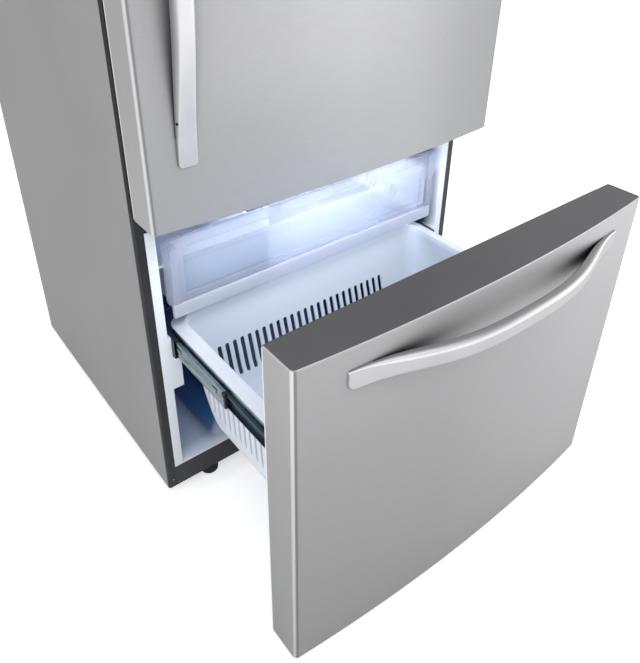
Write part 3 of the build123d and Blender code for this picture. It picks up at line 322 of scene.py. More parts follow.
# Fresh food, door and drawer liners: the same sheet in plain glossy white. It is formed in one piece
# for each, with ribs that carry the shelves and bins.
liner_sheet = coated("glossy_white_polystyrene", {"IOR": 1.59}, (6.0, 0.004),
                     ("#e9edf2", "#eff2f5", 150), (0.24, 0.32), edge_mm=1.0)
dress(liner_sheet, "fresh_food_liner", "door_liner", "drawer_liner")

# Inner fittings: shelf frames, air tower, control housing, dairy box and rollers, moulded in white
# high-impact polystyrene with a satin face.
white_plastic = coated("moulded_white_polystyrene", {"IOR": 1.49}, (1.2, 0.02),
                       ("#e6eaf0", "#ebeff4", 90), (0.3, 0.38), edge_mm=1.5)
dress(white_plastic, "shelf_frames", "air_tower", "control_housing", "dairy_box",
      "left_rear_roller", "right_rear_roller")

# Insulation: rigid polyurethane foam, blown in place between the skins and the liners and closed in
# on all sides. It is yellowish and dull, with fine open cells where it is cut.
foam_finish = coated("rigid_polyurethane_foam", {"IOR": 1.4}, (3.0, 0.3),
                     ("#c9b26a", "#dcc88a", 40), (0.85, 0.95))
dress(foam_finish, "insulation_foam", "door_foam", "drawer_foam")

# Fronts: a brushed stainless steel skin is folded round the face and both sides of each front. The
# face is bowed, the upright corners are rolled, and the ends are hemmed over plastic caps. Light and
# shade are painted into the steel's colour: a broad painted sheen by place, bright and dark painted bands
# on the rolled corners, brighter higher up, and painted shade in the hollows behind the handles.
FACE_BOW = 22 * MM
FACE_CORNER = 9 * MM
HEM_R = 1.2 * MM
HEM_W = 2.0 * MM
BRUSH_MM, BRUSH_DEPTH = 0.9, 0.006 * MM
GRAIN_DRAWN = (0.012, 1.0, 1.0)
GRAIN_SPAN = (0.25, 0.75)
HOLLOW_SHADE_REACH = 50 * MM
TURN_LIGHT_AND_SHADE = [(0.0, "#d7d7d8"), (0.13, "#d7d7d8"), (0.3, "#a0a0a2"), (0.55, "#909092"), (0.72, "#e0e0e0"),
               (0.93, "#e0e0e0"), (0.99, "#b4b4b4"), (1.0, "#b4b4b4")]
DOOR_SHEEN = [(-0.416, "#dadada"), (-0.3, "#e6e6e6"), (-0.1, "#f7f7f7"), (0.0, "#fafafa"),
              (0.13, "#efefef"), (0.28, "#d8d8d8"), (0.416, "#cccccc")]
DRAWER_SHEEN = [(-0.416, "#cacaca"), (-0.1, "#d3d3d3"), (0.05, "#dedede"), (0.3, "#ececec"),
                (0.416, "#eeeeee")]
SHEEN_CHANGE_Z = (0.70, 0.72)
SHEEN_TURN = (0.3, 0.6)
HEIGHT_LIGHT = [(0.04, "#d4d4d4"), (0.5, "#ededed"), (0.72, "#ffffff"), (1.1, "#f2f2f2")]
HOLLOW_SHADE = [(0.3, "#2a2a2b"), (0.8, "#ffffff")]


def shell(points, capped=True):
    """Corners and faces of a grid (rows, columns, 3). Each row is a loop, and both ends get a cap."""
    rows, cols = points.shape[:2]
    index = np.arange(rows * cols).reshape(rows, cols)
    index = np.hstack([index, index[:, :1]])
    corners = (index[:-1, :-1], index[1:, :-1], index[1:, 1:], index[:-1, 1:])
    faces = np.stack(corners, -1).reshape(-1, 4).tolist()
    if capped:
        faces += [index[0, :cols].tolist(), index[-1, :cols].tolist()]
    return points.reshape(-1, 3), faces


def moved(made, x, y, z):
    """A shell carried along by a distance in metres."""
    return made[0] + np.array([x, y, z]), made[1]


def joined(name, shells):
    """One mesh from several shells, with its points merged and its faces turned outwards."""
    corners, faces, base = [], [], 0
    for points, loops in shells:
        corners.append(points)
        faces += [[base + i for i in loop] for loop in loops]
        base += len(points)
    mesh = bpy.data.meshes.new(name)
    mesh.from_pydata(np.vstack(corners).tolist(), [], faces)
    work = bmesh.new()
    work.from_mesh(mesh)
    bmesh.ops.remove_doubles(work, verts=work.verts, dist=1e-6)
    bmesh.ops.dissolve_degenerate(work, edges=work.edges, dist=1e-7)
    bmesh.ops.recalc_face_normals(work, faces=work.faces)
    work.to_mesh(mesh)
    work.free()
    return mesh


def piece(name, shells, material, body, slot, *nodes, y=0.0, sharp=35, cuts=()):
    """One object from several shells, moved along Y, merged, turned outwards and smoothed below an
    angle. Cuts are closed shells that are taken out of it."""
    shells, cuts = ([moved(made, 0, y, 0) for made in part] for part in (shells, cuts))
    made = bpy.data.objects.new(name, joined(name, shells))
    bpy.context.scene.collection.objects.link(made)
    if cuts:
        cutter = bpy.data.objects.new("cutter", joined("cutter", cuts))
        bpy.context.scene.collection.objects.link(cutter)
        change = made.modifiers.new("cut", "BOOLEAN")
        change.object, change.operation, change.solver = cutter, "DIFFERENCE", "EXACT"
        depsgraph = bpy.context.evaluated_depsgraph_get()
        result = bpy.data.meshes.new_from_object(made.evaluated_get(depsgraph))
        made.modifiers.clear()
        made.data = result
        bpy.data.objects.remove(cutter)
    made.data.materials.clear()
    made.data.materials.append(material)
    made.data.shade_smooth()
    made.data.set_sharp_from_angle(angle=math.radians(sharp))
    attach(made, body)
    if nodes:
        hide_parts(*nodes)


def front_curve(half, side_y, rear_y, bow, corner, bow_steps=72, corner_steps=10):
    """Plan of a front from its left rear edge to its right one, with outward normals: straight sides,
    corners on circles of the corner radius, and a face on the circle through both sides and the bow."""
    bow_r = (half ** 2 + bow ** 2) / (2 * bow)
    bow_y = side_y - bow + bow_r
    corner_x = half - corner
    corner_y = bow_y - math.sqrt((bow_r - corner) ** 2 - corner_x ** 2)
    start = math.atan2(corner_x, bow_y - corner_y)
    turn = np.linspace(math.pi / 2, start, corner_steps)
    sweep = np.linspace(start, 0, bow_steps // 2 + 1)[1:]
    x = np.concatenate([[half, half], corner_x + corner * np.sin(turn), bow_r * np.sin(sweep)])
    y = np.concatenate([[rear_y, (rear_y + corner_y) / 2], corner_y - corner * np.cos(turn),
                        bow_y - bow_r * np.cos(sweep)])
    angle = np.concatenate([[math.pi / 2] * 2, turn, sweep])
    x, y, angle = (np.concatenate([sign * part, last * part[-2::-1]]) for part, sign, last in
                   ((x, -1, 1), (y, 1, 1), (angle, -1, 1)))
    return np.stack([x, y], -1), np.stack([np.sin(angle), -np.cos(angle)], -1)


def carried(section, plan, normals):
    """A section of (inset, z) points carried along a plan curve, one loop at each of its points."""
    spread = plan[:, None] - section[None, :, :1] * normals[:, None]
    level = np.broadcast_to(section[None, :, 1:], (*spread.shape[:2], 1))
    return np.concatenate([spread, level], -1)


def arc(centre, radius, start, end, steps=6):
    """Points on a circle from one angle to another, in degrees."""
    angle = np.radians(np.linspace(start, end, steps))
    return np.stack([centre[0] + radius * np.cos(angle), centre[1] + radius * np.sin(angle)], -1)


def front_skin(name, node, body, material):
    """The folded skin over its CAD node: a thin strip with rolled ends, carried round the plan."""
    low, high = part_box(node)
    side_y = low.y + FACE_BOW
    plan, normals = front_curve(high.x, side_y, high.y, FACE_BOW, FACE_CORNER)
    section = np.concatenate([
        arc((HEM_R, high.z - HEM_R), HEM_R, 180, 90), [[HEM_W, high.z], [HEM_W, low.z]],
        arc((HEM_R, low.z + HEM_R), HEM_R, 270, 180)])
    piece(name, [shell(carried(section, plan, normals))], material, body, "front_steel", node, sharp=40)


stainless, tree = new_material("brushed_stainless_steel")
place = add(tree, "ShaderNodeTexCoord")
drawn = add(tree, "ShaderNodeMapping", {"Vector": place.outputs["Object"], "Scale": GRAIN_DRAWN})
grain = add(tree, "ShaderNodeTexNoise", {"Vector": drawn.outputs[0], "Scale": 1000 / BRUSH_MM,
                                         "Detail": 3.0}).outputs["Fac"]
# Painted light and shade: corner bands by how far the surface turns aside, a sheen along the fronts,
# brighter higher up, and shade near the handles from ambient occlusion.
turned = reckoned(tree, "ABSOLUTE", axes(tree, place, "Normal")["X"])
aside, _, height = axes(tree, place)
sheen = blended(tree, between(tree, height, *SHEEN_CHANGE_Z), ramp(tree, aside, DRAWER_SHEEN),
                ramp(tree, aside, DOOR_SHEEN))
sheen = blended(tree, between(tree, turned, *SHEEN_TURN), sheen, linear("#ffffff"))
hollow_shade = add(tree, "ShaderNodeAmbientOcclusion", {"Distance": HOLLOW_SHADE_REACH}, samples=8).outputs["AO"]
tone = ramp(tree, grain, [(GRAIN_SPAN[0], "#f4f4f4"), (GRAIN_SPAN[1], "#ffffff")])
for layer in (ramp(tree, turned, TURN_LIGHT_AND_SHADE), sheen, ramp(tree, height, HEIGHT_LIGHT),
              ramp(tree, hollow_shade, HOLLOW_SHADE)):
    tone = blended(tree, 1.0, tone, layer, kind="MULTIPLY")
gloss = between(tree, grain, *GRAIN_SPAN, 0.42, 0.48)
bump = add(tree, "ShaderNodeBump", {"Height": grain, "Distance": BRUSH_DEPTH, "Strength": 1.0})
shader = add(tree, "ShaderNodeBsdfPrincipled", {"Base Color": tone, "Metallic": 0.45, "Roughness": gloss,
                                                "Normal": bump.outputs[0]})
add(tree, "ShaderNodeOutputMaterial", {"Surface": shader.outputs[0]})
front_skin("door_steel_skin", "door_skin", "refrigerator_door", stainless)
front_skin("drawer_steel_skin", "drawer_skin", "freezer_drawer", stainless)

# End caps: dark moulded plates close the top and the bottom of each front, just under the hemmed ends
# of its skin. The hinge cover is moulded in the same plastic.
CAP_DROP = 0.5 * MM
CAP_T = 4 * MM
cap_plastic = coated("moulded_abs_dark_grey", {"IOR": 1.53}, (0.8, 0.03),
                     ("#3f3f41", "#454547", 120), (0.42, 0.48), edge_mm=1.5)
dress(cap_plastic, "hinge_cover")


def end_cap(plan, z0, z1):
    """A plate between a plan curve and its rear edge: columns of points from the face back."""
    rear = plan[:, 1].max()
    depth = np.linspace(0, 1, 3)[None, :]
    y = plan[:, 1:] * (1 - depth) + rear * depth
    x = np.broadcast_to(plan[:, :1], y.shape)
    top = np.stack([x, y, np.full_like(y, z1)], -1)
    below = np.stack([x, y, np.full_like(y, z0)], -1)[:, ::-1]
    return shell(np.concatenate([top, below], 1))


def front_caps(name, node, skin_node, body):
    """Both end plates of a front, set just under the hemmed ends of its skin."""
    low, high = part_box(node)
    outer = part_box(skin_node)
    plan, _ = front_curve(outer[1].x - HEM_W, outer[0].y + FACE_BOW + HEM_W, high.y, FACE_BOW,
                          FACE_CORNER - HEM_W)
    piece(name, [end_cap(plan, low.z + CAP_DROP, low.z + CAP_T),
                 end_cap(plan, high.z - CAP_T, high.z - CAP_DROP)], cap_plastic, body, "cap_plastic", node)


front_caps("door_cap_plates", "door_end_caps", "door_skin", "refrigerator_door")
front_caps("drawer_cap_plates", "drawer_end_caps", "drawer_skin", "freezer_drawer")

# Handles: bowed bars of satin stainless steel, thick in the middle and thin at the ends, which two
# hidden posts and a set screw at each end hold to the fronts. The screws' dark sockets are on the left
# side of the door's bar and under the drawer's bar.
HANDLE_W = 36 * MM
HANDLE_T = 17 * MM
HANDLE_END_T = 4 * MM
HANDLE_OPEN = 0.88
HANDLE_OUTER_R = 10 * MM
HANDLE_INNER_R = 3 * MM
BOW_POWER = 1.6
DRAWER_BAR_HALF = 327 * MM
DRAWER_SINK, DRAWER_TIPS = 14 * MM, (2.5 * MM, 13 * MM)
DOOR_SINK, DOOR_TIPS = 8 * MM, (7 * MM, 7 * MM)
SCREW_R, SCREW_PROUD = 3 * MM, 0.5 * MM
DOOR_SCREW_IN, DOOR_SCREW_OUT = 78 * MM, 7 * MM
DRAWER_SCREW_IN, DRAWER_SCREW_OUT = 62 * MM, 14 * MM
UPRIGHT_Z = (0.75, 0.76)
INNER_SHADE_TURN = (0.2, 0.5)
LEVEL_LIGHT_AND_SHADE = [(-1.0, "#a0a0a2"), (-0.05, "#c9c9ca"), (0.12, "#cdcdce"), (0.3, "#fbfbfb"), (0.5, "#e8e8e9"),
              (0.8, "#9a9a9c"), (1.0, "#868688")]
UPRIGHT_LIGHT_AND_SHADE = [(-1.0, "#9b9b9e"), (-0.6, "#a8a8aa"), (-0.25, "#f4f4f4"), (1.0, "#fbfbfb")]


def face_at(node, x):
    """Y of a front's bowed face at a distance from its middle."""
    low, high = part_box(node)
    return low.y + FACE_BOW * (x / high.x) ** 2


def swelling(x, half):
    """Share of a bow's rise at x: half a cosine wave of the distance to the middle, raised to a power."""
    return 0.5 + 0.5 * np.cos(math.pi * np.clip(np.abs(x) / half, 0, 1) ** BOW_POWER)


def handle_sections(half, face, rise, width, sink, tips):
    """The bar along its length: at each station a rounded rectangle between the outer bow and either
    the inner bow or a depth inside the front. Depth is measured outwards, and face gives the front's
    depth along the bar. Tips are the corner radii seen from the front, on the far and near edge."""
    along = half * np.sin(np.linspace(-math.pi / 2, math.pi / 2, 141))
    ground = face(along)
    outer = ground + HANDLE_END_T + (rise - HANDLE_END_T) * swelling(along, half)
    opening = HANDLE_OPEN * half
    inner = ground + (rise - HANDLE_T) * swelling(along, opening)
    inner = np.where(np.abs(along) < opening - 1 * MM, inner, ground - sink)
    high, low = (width / 2 - tip * (1 - np.sqrt(1 - np.clip((tip - half + np.abs(along)) / tip, 0, 1) ** 2))
                 for tip in tips)
    thick = outer - inner
    round_out = np.minimum(HANDLE_OUTER_R, np.minimum(outer - ground, thick) * 0.6)[:, None]
    round_in = np.minimum(HANDLE_INNER_R, thick * 0.3)[:, None]
    quarter = np.radians(np.linspace(0, 90, 9))[None, :]
    out_d = outer[:, None] - round_out * (1 - np.sin(quarter))
    in_d = inner[:, None] + round_in * (1 - np.sin(quarter))
    inset_out, inset_in = round_out * (1 - np.cos(quarter)), round_in * (1 - np.cos(quarter))
    depth = np.concatenate([out_d, out_d[:, ::-1], in_d, in_d[:, ::-1]], 1)
    across = np.concatenate([high[:, None] - inset_out, (inset_out - low[:, None])[:, ::-1],
                             inset_in - low[:, None], (high[:, None] - inset_in)[:, ::-1]], 1)
    return np.broadcast_to(along[:, None], depth.shape), depth, across


handle_steel, tree = new_material("satin_stainless_steel")
place, shader = grained(tree, {"Metallic": 0.7}, 0.5, 0.006, (0.05, 0.05, 0.05))
tint = clouded(tree, place, shader, "#f6f6f8", "#ffffff", 60, 0.34, 0.4)
# Painted highlight and shade on the bars, by the way the surface faces: a bright band on the rounded edge,
# darker top and ends, and painted shade on the inner side that faces the front.
facing = axes(tree, place, "Normal")
bar_light_and_shade = blended(tree, between(tree, axes(tree, place)["Z"], *UPRIGHT_Z),
                  ramp(tree, facing["Z"], LEVEL_LIGHT_AND_SHADE), ramp(tree, facing["X"], UPRIGHT_LIGHT_AND_SHADE))
bar_light_and_shade = blended(tree, between(tree, facing["Y"], *INNER_SHADE_TURN), bar_light_and_shade, linear("#3a3a3c"))
finish = blended(tree, 1.0, tint, bar_light_and_shade, kind="MULTIPLY")
door_low, door_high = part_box("door_handle")
drawer_low, drawer_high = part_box("drawer_handle")
door_socket_y = face_at("door_skin", door_high.x) - DOOR_SCREW_OUT
drawer_socket_y = face_at("drawer_skin", drawer_high.x) - DRAWER_SCREW_OUT
sockets = [(door_high.x - HANDLE_W, door_socket_y, z)
           for z in (door_low.z + DOOR_SCREW_IN, door_high.z - DOOR_SCREW_IN)]
sockets += [(side * (drawer_high.x - DRAWER_SCREW_IN), drawer_socket_y, drawer_low.z) for side in (-1, 1)]
for socket in sockets:
    reach = add(tree, "ShaderNodeVectorMath", {0: place.outputs["Object"], 1: socket}, operation="DISTANCE")
    finish = blended(tree, between(tree, reach.outputs["Value"], SCREW_R * 1.15, SCREW_R * 0.85), finish,
                     linear("#0c0c0d"))
tree.links.new(finish, shader.inputs["Base Color"])

along, depth, across = handle_sections(
    DRAWER_BAR_HALF, lambda x: -face_at("drawer_skin", x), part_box("drawer_skin")[0].y - drawer_low.y,
    HANDLE_W, DRAWER_SINK, DRAWER_TIPS)
middle_z = (drawer_low.z + SCREW_PROUD + drawer_high.z) / 2
drawer_bar = shell(np.stack([along, -depth, middle_z + across], -1))
piece("drawer_bow_handle", [drawer_bar], handle_steel, "freezer_drawer", "handle_steel", "drawer_handle")

middle_x = door_high.x - HANDLE_W / 2
door_face = face_at("door_skin", middle_x)
along, depth, across = handle_sections(
    (door_high.z - door_low.z) / 2, lambda z: -door_face + 0 * z, door_face - door_low.y,
    HANDLE_W, DOOR_SINK, DOOR_TIPS)
door_bar = shell(np.stack([middle_x + across, -depth, (door_low.z + door_high.z) / 2 + along], -1))
piece("door_bow_handle", [door_bar], handle_steel, "refrigerator_door", "handle_steel", "door_handle")

# Gaskets: extruded soft vinyl frames with a magnet inside, pressed into the back of each front. They
# lie on the front frame when the fronts are shut.
vinyl = coated("soft_extruded_vinyl", {"IOR": 1.52}, (1.5, 0.05),
               ("#505052", "#58585a", 50), (0.5, 0.6), edge_mm=1.5)
dress(vinyl, "door_gasket", "drawer_gasket")

# Freezer tub: a white moulded basket with a flat rolled rim, soft corners, raised ribs on its sides
# and slots through its back. It hangs by its rim on the drawer's two side arms. Sizes are in mm.
TUB_Z = [206, 206.8, 208.5, 213, 220, 228, 250, 285, 320, 446]
TUB_HALF = [298, 303, 307.7, 313.2, 317.1, 318, 319, 320.5, 322, 327]
TUB_BACK = [296, 309, 320, 334, 347, 357, 374, 390, 399, 435]
TUB_NEAR, TUB_CORNER, TUB_WALL, TUB_TOP = 10, 35, 2.5, 442
RIM = [(328, 11.6, 435.0, 36, 442.6), (329.5, 11.4, 435.6, 36, 443.0), (346.5, 9.6, 442.2, 34, 438.6),
       (347.6, 9.4, 442.8, 33, 438.0), (351.2, 7.4, 445.4, 31.2, 438), (352, 7, 446, 32, 438.8),
       (352, 7, 446, 32, 439.6), (351.2, 7.3, 445.6, 31.2, 440.6), (348.5, 7.9, 444.4, 30, 441.4),
       (331, 11.0, 436.6, 37.5, 445.6), (328, 11.4, 435.4, 36, 446.2), (326.2, 12.0, 433.8, 34, 446.0),
       (325.0, 12.6, 432.8, 33, 444.8), (324.6, 12.9, 432.4, 32.5, 443.6)]
RIB_R = 2.6
RIB_Y = 50.6 + 19.3 * np.arange(16)
RIB_Z = np.linspace(254, 430, 12)
RIB_LOW, RIB_HIGH, RIB_FADE = 253, 431, 8
SLOT_X = -256 + 19.2 * np.arange(25)
SLOT_Y = (330, 450)
SLOT_ROW = (5, 268, 350, 4.99)
RIM_NEAR = 7
DRAWER_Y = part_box("freezer_tub")[0].y - RIM_NEAR * MM
QUARTER = 9


def stacked(rows, across=(0, 1, 2), capped=True):
    """A closed shell through rounded rectangles. Each row gives half width, near and far side, corner
    radius and place on the stack, in mm; across says which axes width, side and stack run along."""
    half, near, far, corner, level = (part[:, None] for part in np.array(rows, float).T)
    quarter = np.radians(np.linspace(0, 90, QUARTER))
    turn = np.concatenate([quarter + math.pi / 2 * k for k in range(4)])
    aside = np.repeat([1, -1, -1, 1], QUARTER)
    deep = np.repeat([1, 1, -1, -1], QUARTER)
    points = np.empty((len(rows), 4 * QUARTER, 3))
    points[..., across[0]] = aside * (half - corner) + corner * np.cos(turn)
    points[..., across[1]] = (near + far) / 2 + deep * ((far - near) / 2 - corner) + corner * np.sin(turn)
    points[..., across[2]] = level
    return shell(points * MM, capped=capped)


def block(start, end, radius, stack=2):
    """A box between any two opposite corners in mm, its edges rolled over, stacked along one axis."""
    low, high = np.minimum(start, end), np.maximum(start, end)
    first, second = [axis for axis in range(3) if axis != stack]
    turn = np.radians(np.linspace(0, 90, 5))
    inset = radius * (1 - np.sin(turn))
    rise = radius * (1 - np.cos(turn))
    inset, level = (np.concatenate([inset, inset[::-1]]),
                    np.concatenate([low[stack] + rise, high[stack] - rise[::-1]]))
    half = (high[first] - low[first]) / 2 - inset
    near, far = low[second] + inset, high[second] - inset
    made = stacked(np.stack([half, near, far, np.maximum(radius - inset, 0.02), level], -1),
                   (first, second, stack))
    offset = np.zeros(3)
    offset[first] = (high[first] + low[first]) / 2 * MM
    return moved(made, *offset)


levels = np.unique(np.concatenate([TUB_Z, np.linspace(206, 441, 26)]))
levels = levels[levels < TUB_TOP]
half = np.interp(levels, TUB_Z, TUB_HALF)
back = np.interp(levels, TUB_Z, TUB_BACK)
outer = [(w, TUB_NEAR, b, TUB_CORNER, z) for w, b, z in zip(half, back, levels)]
inner = [(w - TUB_WALL, TUB_NEAR + TUB_WALL, b - TUB_WALL, TUB_CORNER - TUB_WALL, z + TUB_WALL)
         for w, b, z in zip(half, back, levels) if z + TUB_WALL < TUB_TOP][::-1]
wall_x = np.interp(RIB_Z, TUB_Z, TUB_HALF)[:, None]
swell = RIB_R * np.sqrt(np.clip(np.minimum(RIB_Z - RIB_LOW, RIB_HIGH - RIB_Z) / RIB_FADE, 0.02, 1))[:, None]
turn = np.radians(np.linspace(0, 180, 9))
ribs = []
for y in RIB_Y:
    for side in (-1, 1):
        x = side * (wall_x - 1 + (swell + 1) * np.sin(turn))
        deep = np.broadcast_to(y + RIB_R * np.cos(turn), x.shape)
        ribs.append(shell(np.stack([x, deep, np.broadcast_to(RIB_Z[:, None], x.shape)], -1) * MM))
slots = [moved(stacked([(*SLOT_ROW, y) for y in SLOT_Y], (0, 2, 1)), x * MM, 0, 0) for x in SLOT_X]

# Tub plastic: the wall drafts outwards from 318 mm low down to 327 mm at the rim, and the tone follows
# the distance beyond that wall: painted shade makes the ribs and the inside a little darker, and the rim is
# a little darker too.
DRAFT_Z, DRAFT_X = (0.228, 0.446), (0.318, 0.327)
RIB_OUT, RIB_END_Z = (0.3 * MM, 0.9 * MM), (0.436, 0.43)
INSIDE_IN, INSIDE_END_Z = (-0.6 * MM, -2.0 * MM), (0.444, 0.43)
RIM_Z = (0.4365, 0.439)
tub_plastic, tree = new_material("moulded_white_polypropylene")
place, shader = grained(tree, {"IOR": 1.49}, 1.2, 0.015)
tint = clouded(tree, place, shader, "#e3e9f2", "#e9eef5", 110, 0.3, 0.38)
aside, _, height = axes(tree, place)
drafted = between(tree, height, *DRAFT_Z, *DRAFT_X, clamp=False)
beyond = reckoned(tree, "SUBTRACT", reckoned(tree, "ABSOLUTE", aside), drafted)
# Painted shade: the ribs and the inside of the tub are coloured darker.
rib_shade_share = reckoned(tree, "MULTIPLY", between(tree, beyond, *RIB_OUT), between(tree, height, *RIB_END_Z))
inside_shade_share = reckoned(tree, "MULTIPLY", between(tree, beyond, *INSIDE_IN),
                  between(tree, height, *INSIDE_END_Z))
tone = blended(tree, inside_shade_share, tint, linear("#c6ced8"))
tone = blended(tree, between(tree, height, *RIM_Z), tone, linear("#d6dce6"))
tree.links.new(blended(tree, rib_shade_share, tone, linear("#b3bdd0")), shader.inputs["Base Color"])
piece("tub_basket", [stacked(outer + RIM + inner)], tub_plastic, "freezer_drawer", "white_plastic",
      "freezer_tub", y=DRAWER_Y, cuts=slots, sharp=40)
piece("tub_side_ribs", ribs, tub_plastic, "freezer_drawer", "white_plastic", y=DRAWER_Y)

# Drawer slides: three strips of steel on each side, cold-rolled into channels with round bends and
# plated, nested one in the other on ball races. The middle one is bright zinc and has a black bumper
# at its near end; the outer and inner ones are a darker copy of the zinc, painted shade for the recess
# they stand in. Sizes are in mm.
MID_Z = 411.5
OUTER_NEAR = -9.0
STRIP_T, STRIP_R = 1.3, 0.9
OUTER_CHANNEL = (368.2, 358.2, 21.8)
MIDDLE_CHANNEL = (363.7, 357.5, 18.7)
INNER_CHANNEL = (354.3, 360.4, 15.3)
LIP, RACE_W, PRESS_W, WEB_PRESS = 2.2, 8, 10, 2.2
TAB_Y = (34, 170, 300)
zinc = coated("zinc_plated_steel", {"Metallic": 1.0}, (1.1, 0.01, (1, 0.05, 1)),
              ("#8d9fa6", "#a6b5ba", 35), (0.22, 0.34))
# Painted shade: a darker copy of the zinc for the outer and inner members, which stand in shade.
shaded_zinc = coated("zinc_plated_steel_in_painted_shade", {"Metallic": 0.85}, (1.1, 0.01, (1, 0.05, 1)),
               ("#42505c", "#506070", 35), (0.28, 0.38))
bumper_plastic = coated("black_acetal", {"IOR": 1.48}, (0.8, 0.02),
                        ("#141518", "#1d1f22", 15), (0.36, 0.46))
dress(zinc, "hinge_brackets")


def bent(corners, radius, steps=6):
    """A path in X and Z with each inner corner replaced by an arc that touches both sides."""
    corners = np.array(corners, float)
    points = [corners[:1]]
    for before, corner, after in zip(corners, corners[1:], corners[2:]):
        one = (before - corner) / np.linalg.norm(before - corner)
        two = (after - corner) / np.linalg.norm(after - corner)
        half_angle = math.acos(np.clip(one @ two, -1, 1)) / 2
        middle = (one + two) / np.linalg.norm(one + two)
        centre = corner + middle * radius / math.sin(half_angle)
        start = corner + one * radius / math.tan(half_angle) - centre
        end = corner + two * radius / math.tan(half_angle) - centre
        whole = math.acos(np.clip(start @ end / radius ** 2, -1, 1))
        share = np.linspace(0, 1, steps)[:, None]
        points.append(centre + (np.sin((1 - share) * whole) * start + np.sin(share * whole) * end)
                      / math.sin(whole))
    return np.concatenate([*points, corners[-1:]])


def rolled_strip(path, thickness, near, far):
    """Sheet of a thickness along a path in X and Z, drawn along Y, with its two ends closed."""
    run = np.gradient(path, axis=0)
    run /= np.linalg.norm(run, axis=1)[:, None]
    across = np.stack([-run[:, 1], run[:, 0]], -1) * thickness / 2
    loop = np.concatenate([path + across, (path - across)[::-1]])
    count = len(path)
    rows = np.stack([np.insert(loop, 1, y, axis=1) for y in (near, far)])
    points, faces = shell(rows * MM, capped=False)
    for row in (0, 1):
        base = row * 2 * count
        faces += [[base + i, base + i + 1, base + 2 * count - 2 - i, base + 2 * count - 1 - i]
                  for i in range(count - 1)]
    return points, faces


def channel(side, web, edge, half_height, near, far, press=0.0):
    """A rolled channel: flanges from edge to web, and a web that may be pressed in between its races."""
    sign = 1 if edge > web else -1
    upper = [(edge, half_height - LIP), (edge, half_height), (web, half_height),
             (web, half_height - RACE_W), (web + sign * press, half_height - PRESS_W)]
    corners = upper + [(x, -z) for x, z in upper[::-1]]
    if not press:
        corners = corners[:3] + corners[7:]
    path = bent([(side * x, MID_Z + z) for x, z in corners], STRIP_R)
    return rolled_strip(path, STRIP_T, near, far)


for name, side in (("left", -1), ("right", 1)):
    middle_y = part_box(f"{name}_slide_middle")[0].y
    member = channel(side, *MIDDLE_CHANNEL, 6, 405, press=WEB_PRESS)
    tabs = [block((side * 362.2, y, MID_Z - 5), (side * 364.6, y + 16, MID_Z + 5), 1.0) for y in TAB_Y]
    piece(f"{name}_slide_member", [member, *tabs], zinc, f"{name}_slide_middle", "zinc_slide",
          f"{name}_slide_middle", y=middle_y)
    bumper = [block((side * 357, 0, MID_Z - 18.6), (side * 365, 6.4, MID_Z + 18.6), 1.6),
              block((side * 361, -1.2, MID_Z + 9), (side * 367, 8, MID_Z + 20.4), 1.4)]
    piece(f"{name}_slide_bumper", bumper, bumper_plastic, f"{name}_slide_middle", "base_plastic",
          y=middle_y)

outer_members = [channel(side, *OUTER_CHANNEL, OUTER_NEAR, 410) for side in (-1, 1)]
piece("slide_cabinet_members", outer_members, shaded_zinc, "cabinet", "zinc_slide", "slide_outer_members",
      y=FRONT_Y)
inner_members = [channel(side, *INNER_CHANNEL, 8, 408) for side in (-1, 1)]
piece("drawer_inner_members", inner_members, shaded_zinc, "freezer_drawer", "zinc_slide", y=DRAWER_Y)

# Drawer arms: an angle of zinc-plated sheet on each side carries the tub's rim and holds the inner
# slide member, and an upright plate at its near end is screwed to the back of the front.
ARM_T, ARM_R = 1.8, 1.2
arms = []
for side in (-1, 1):
    bend = bent([(side * 346, 437), (side * 352.5, 437), (side * 352.5, 392)], ARM_R)
    arms.append(rolled_strip(bend, ARM_T, -15, 405))
    arms.append(block((side * 325, -15, 362), (side * 353.4, -13.1, 436), 0.8))
piece("drawer_rails_and_arms", arms, zinc, "freezer_drawer", "zinc_slide", "drawer_side_rails", y=DRAWER_Y)

# Slide end clips: a white moulded clip under the near end of each outer slide member keeps it in the
# liner's slide block.
clips = [block((side * 356, OUTER_NEAR - 1, MID_Z - 27), (side * 370, OUTER_NEAR + 8, MID_Z - 22.6), 1.5)
         for side in (-1, 1)]
piece("slide_end_clips", clips, white_plastic, "cabinet", "white_plastic", y=FRONT_Y)

# Foot screws: a plated pan-head screw on each side at the foot of the front frame. Each head is a low
# dome in front of the enamel.
HEAD_R, HEAD_RISE = 3.6, 1.6
HEAD_X, HEAD_Z = 404 * MM, 53 * MM


def dome(radius, rise, rings=6):
    """A low dome on the XZ plane that points towards -Y: a quarter ellipse turned round the Y axis."""
    turn = np.radians(np.linspace(0, 90, rings))
    angle = np.radians(np.arange(24) * 15)
    ring = np.maximum(radius * np.cos(turn), 0.02)[:, None]
    rows = np.stack([ring * np.cos(angle), np.broadcast_to(-rise * np.sin(turn)[:, None], (rings, 24)),
                     ring * np.sin(angle)], -1)
    return shell(rows * MM)


heads = [moved(dome(HEAD_R, HEAD_RISE), side * HEAD_X, FRONT_Y - 0.2 * MM, HEAD_Z) for side in (-1, 1)]
piece("foot_screw_heads", heads, zinc, "cabinet", "zinc_slide")

# Clear plastics and glass: most light goes straight through and the rest is scattered, so each is
# mixed from a see-through part and a glossy milky part.
GLOW_SHARE = 0.45
HAZE, HAZE_MM = 0.03, 160.0
TRAY_WALL_X = (0.32, 0.342)


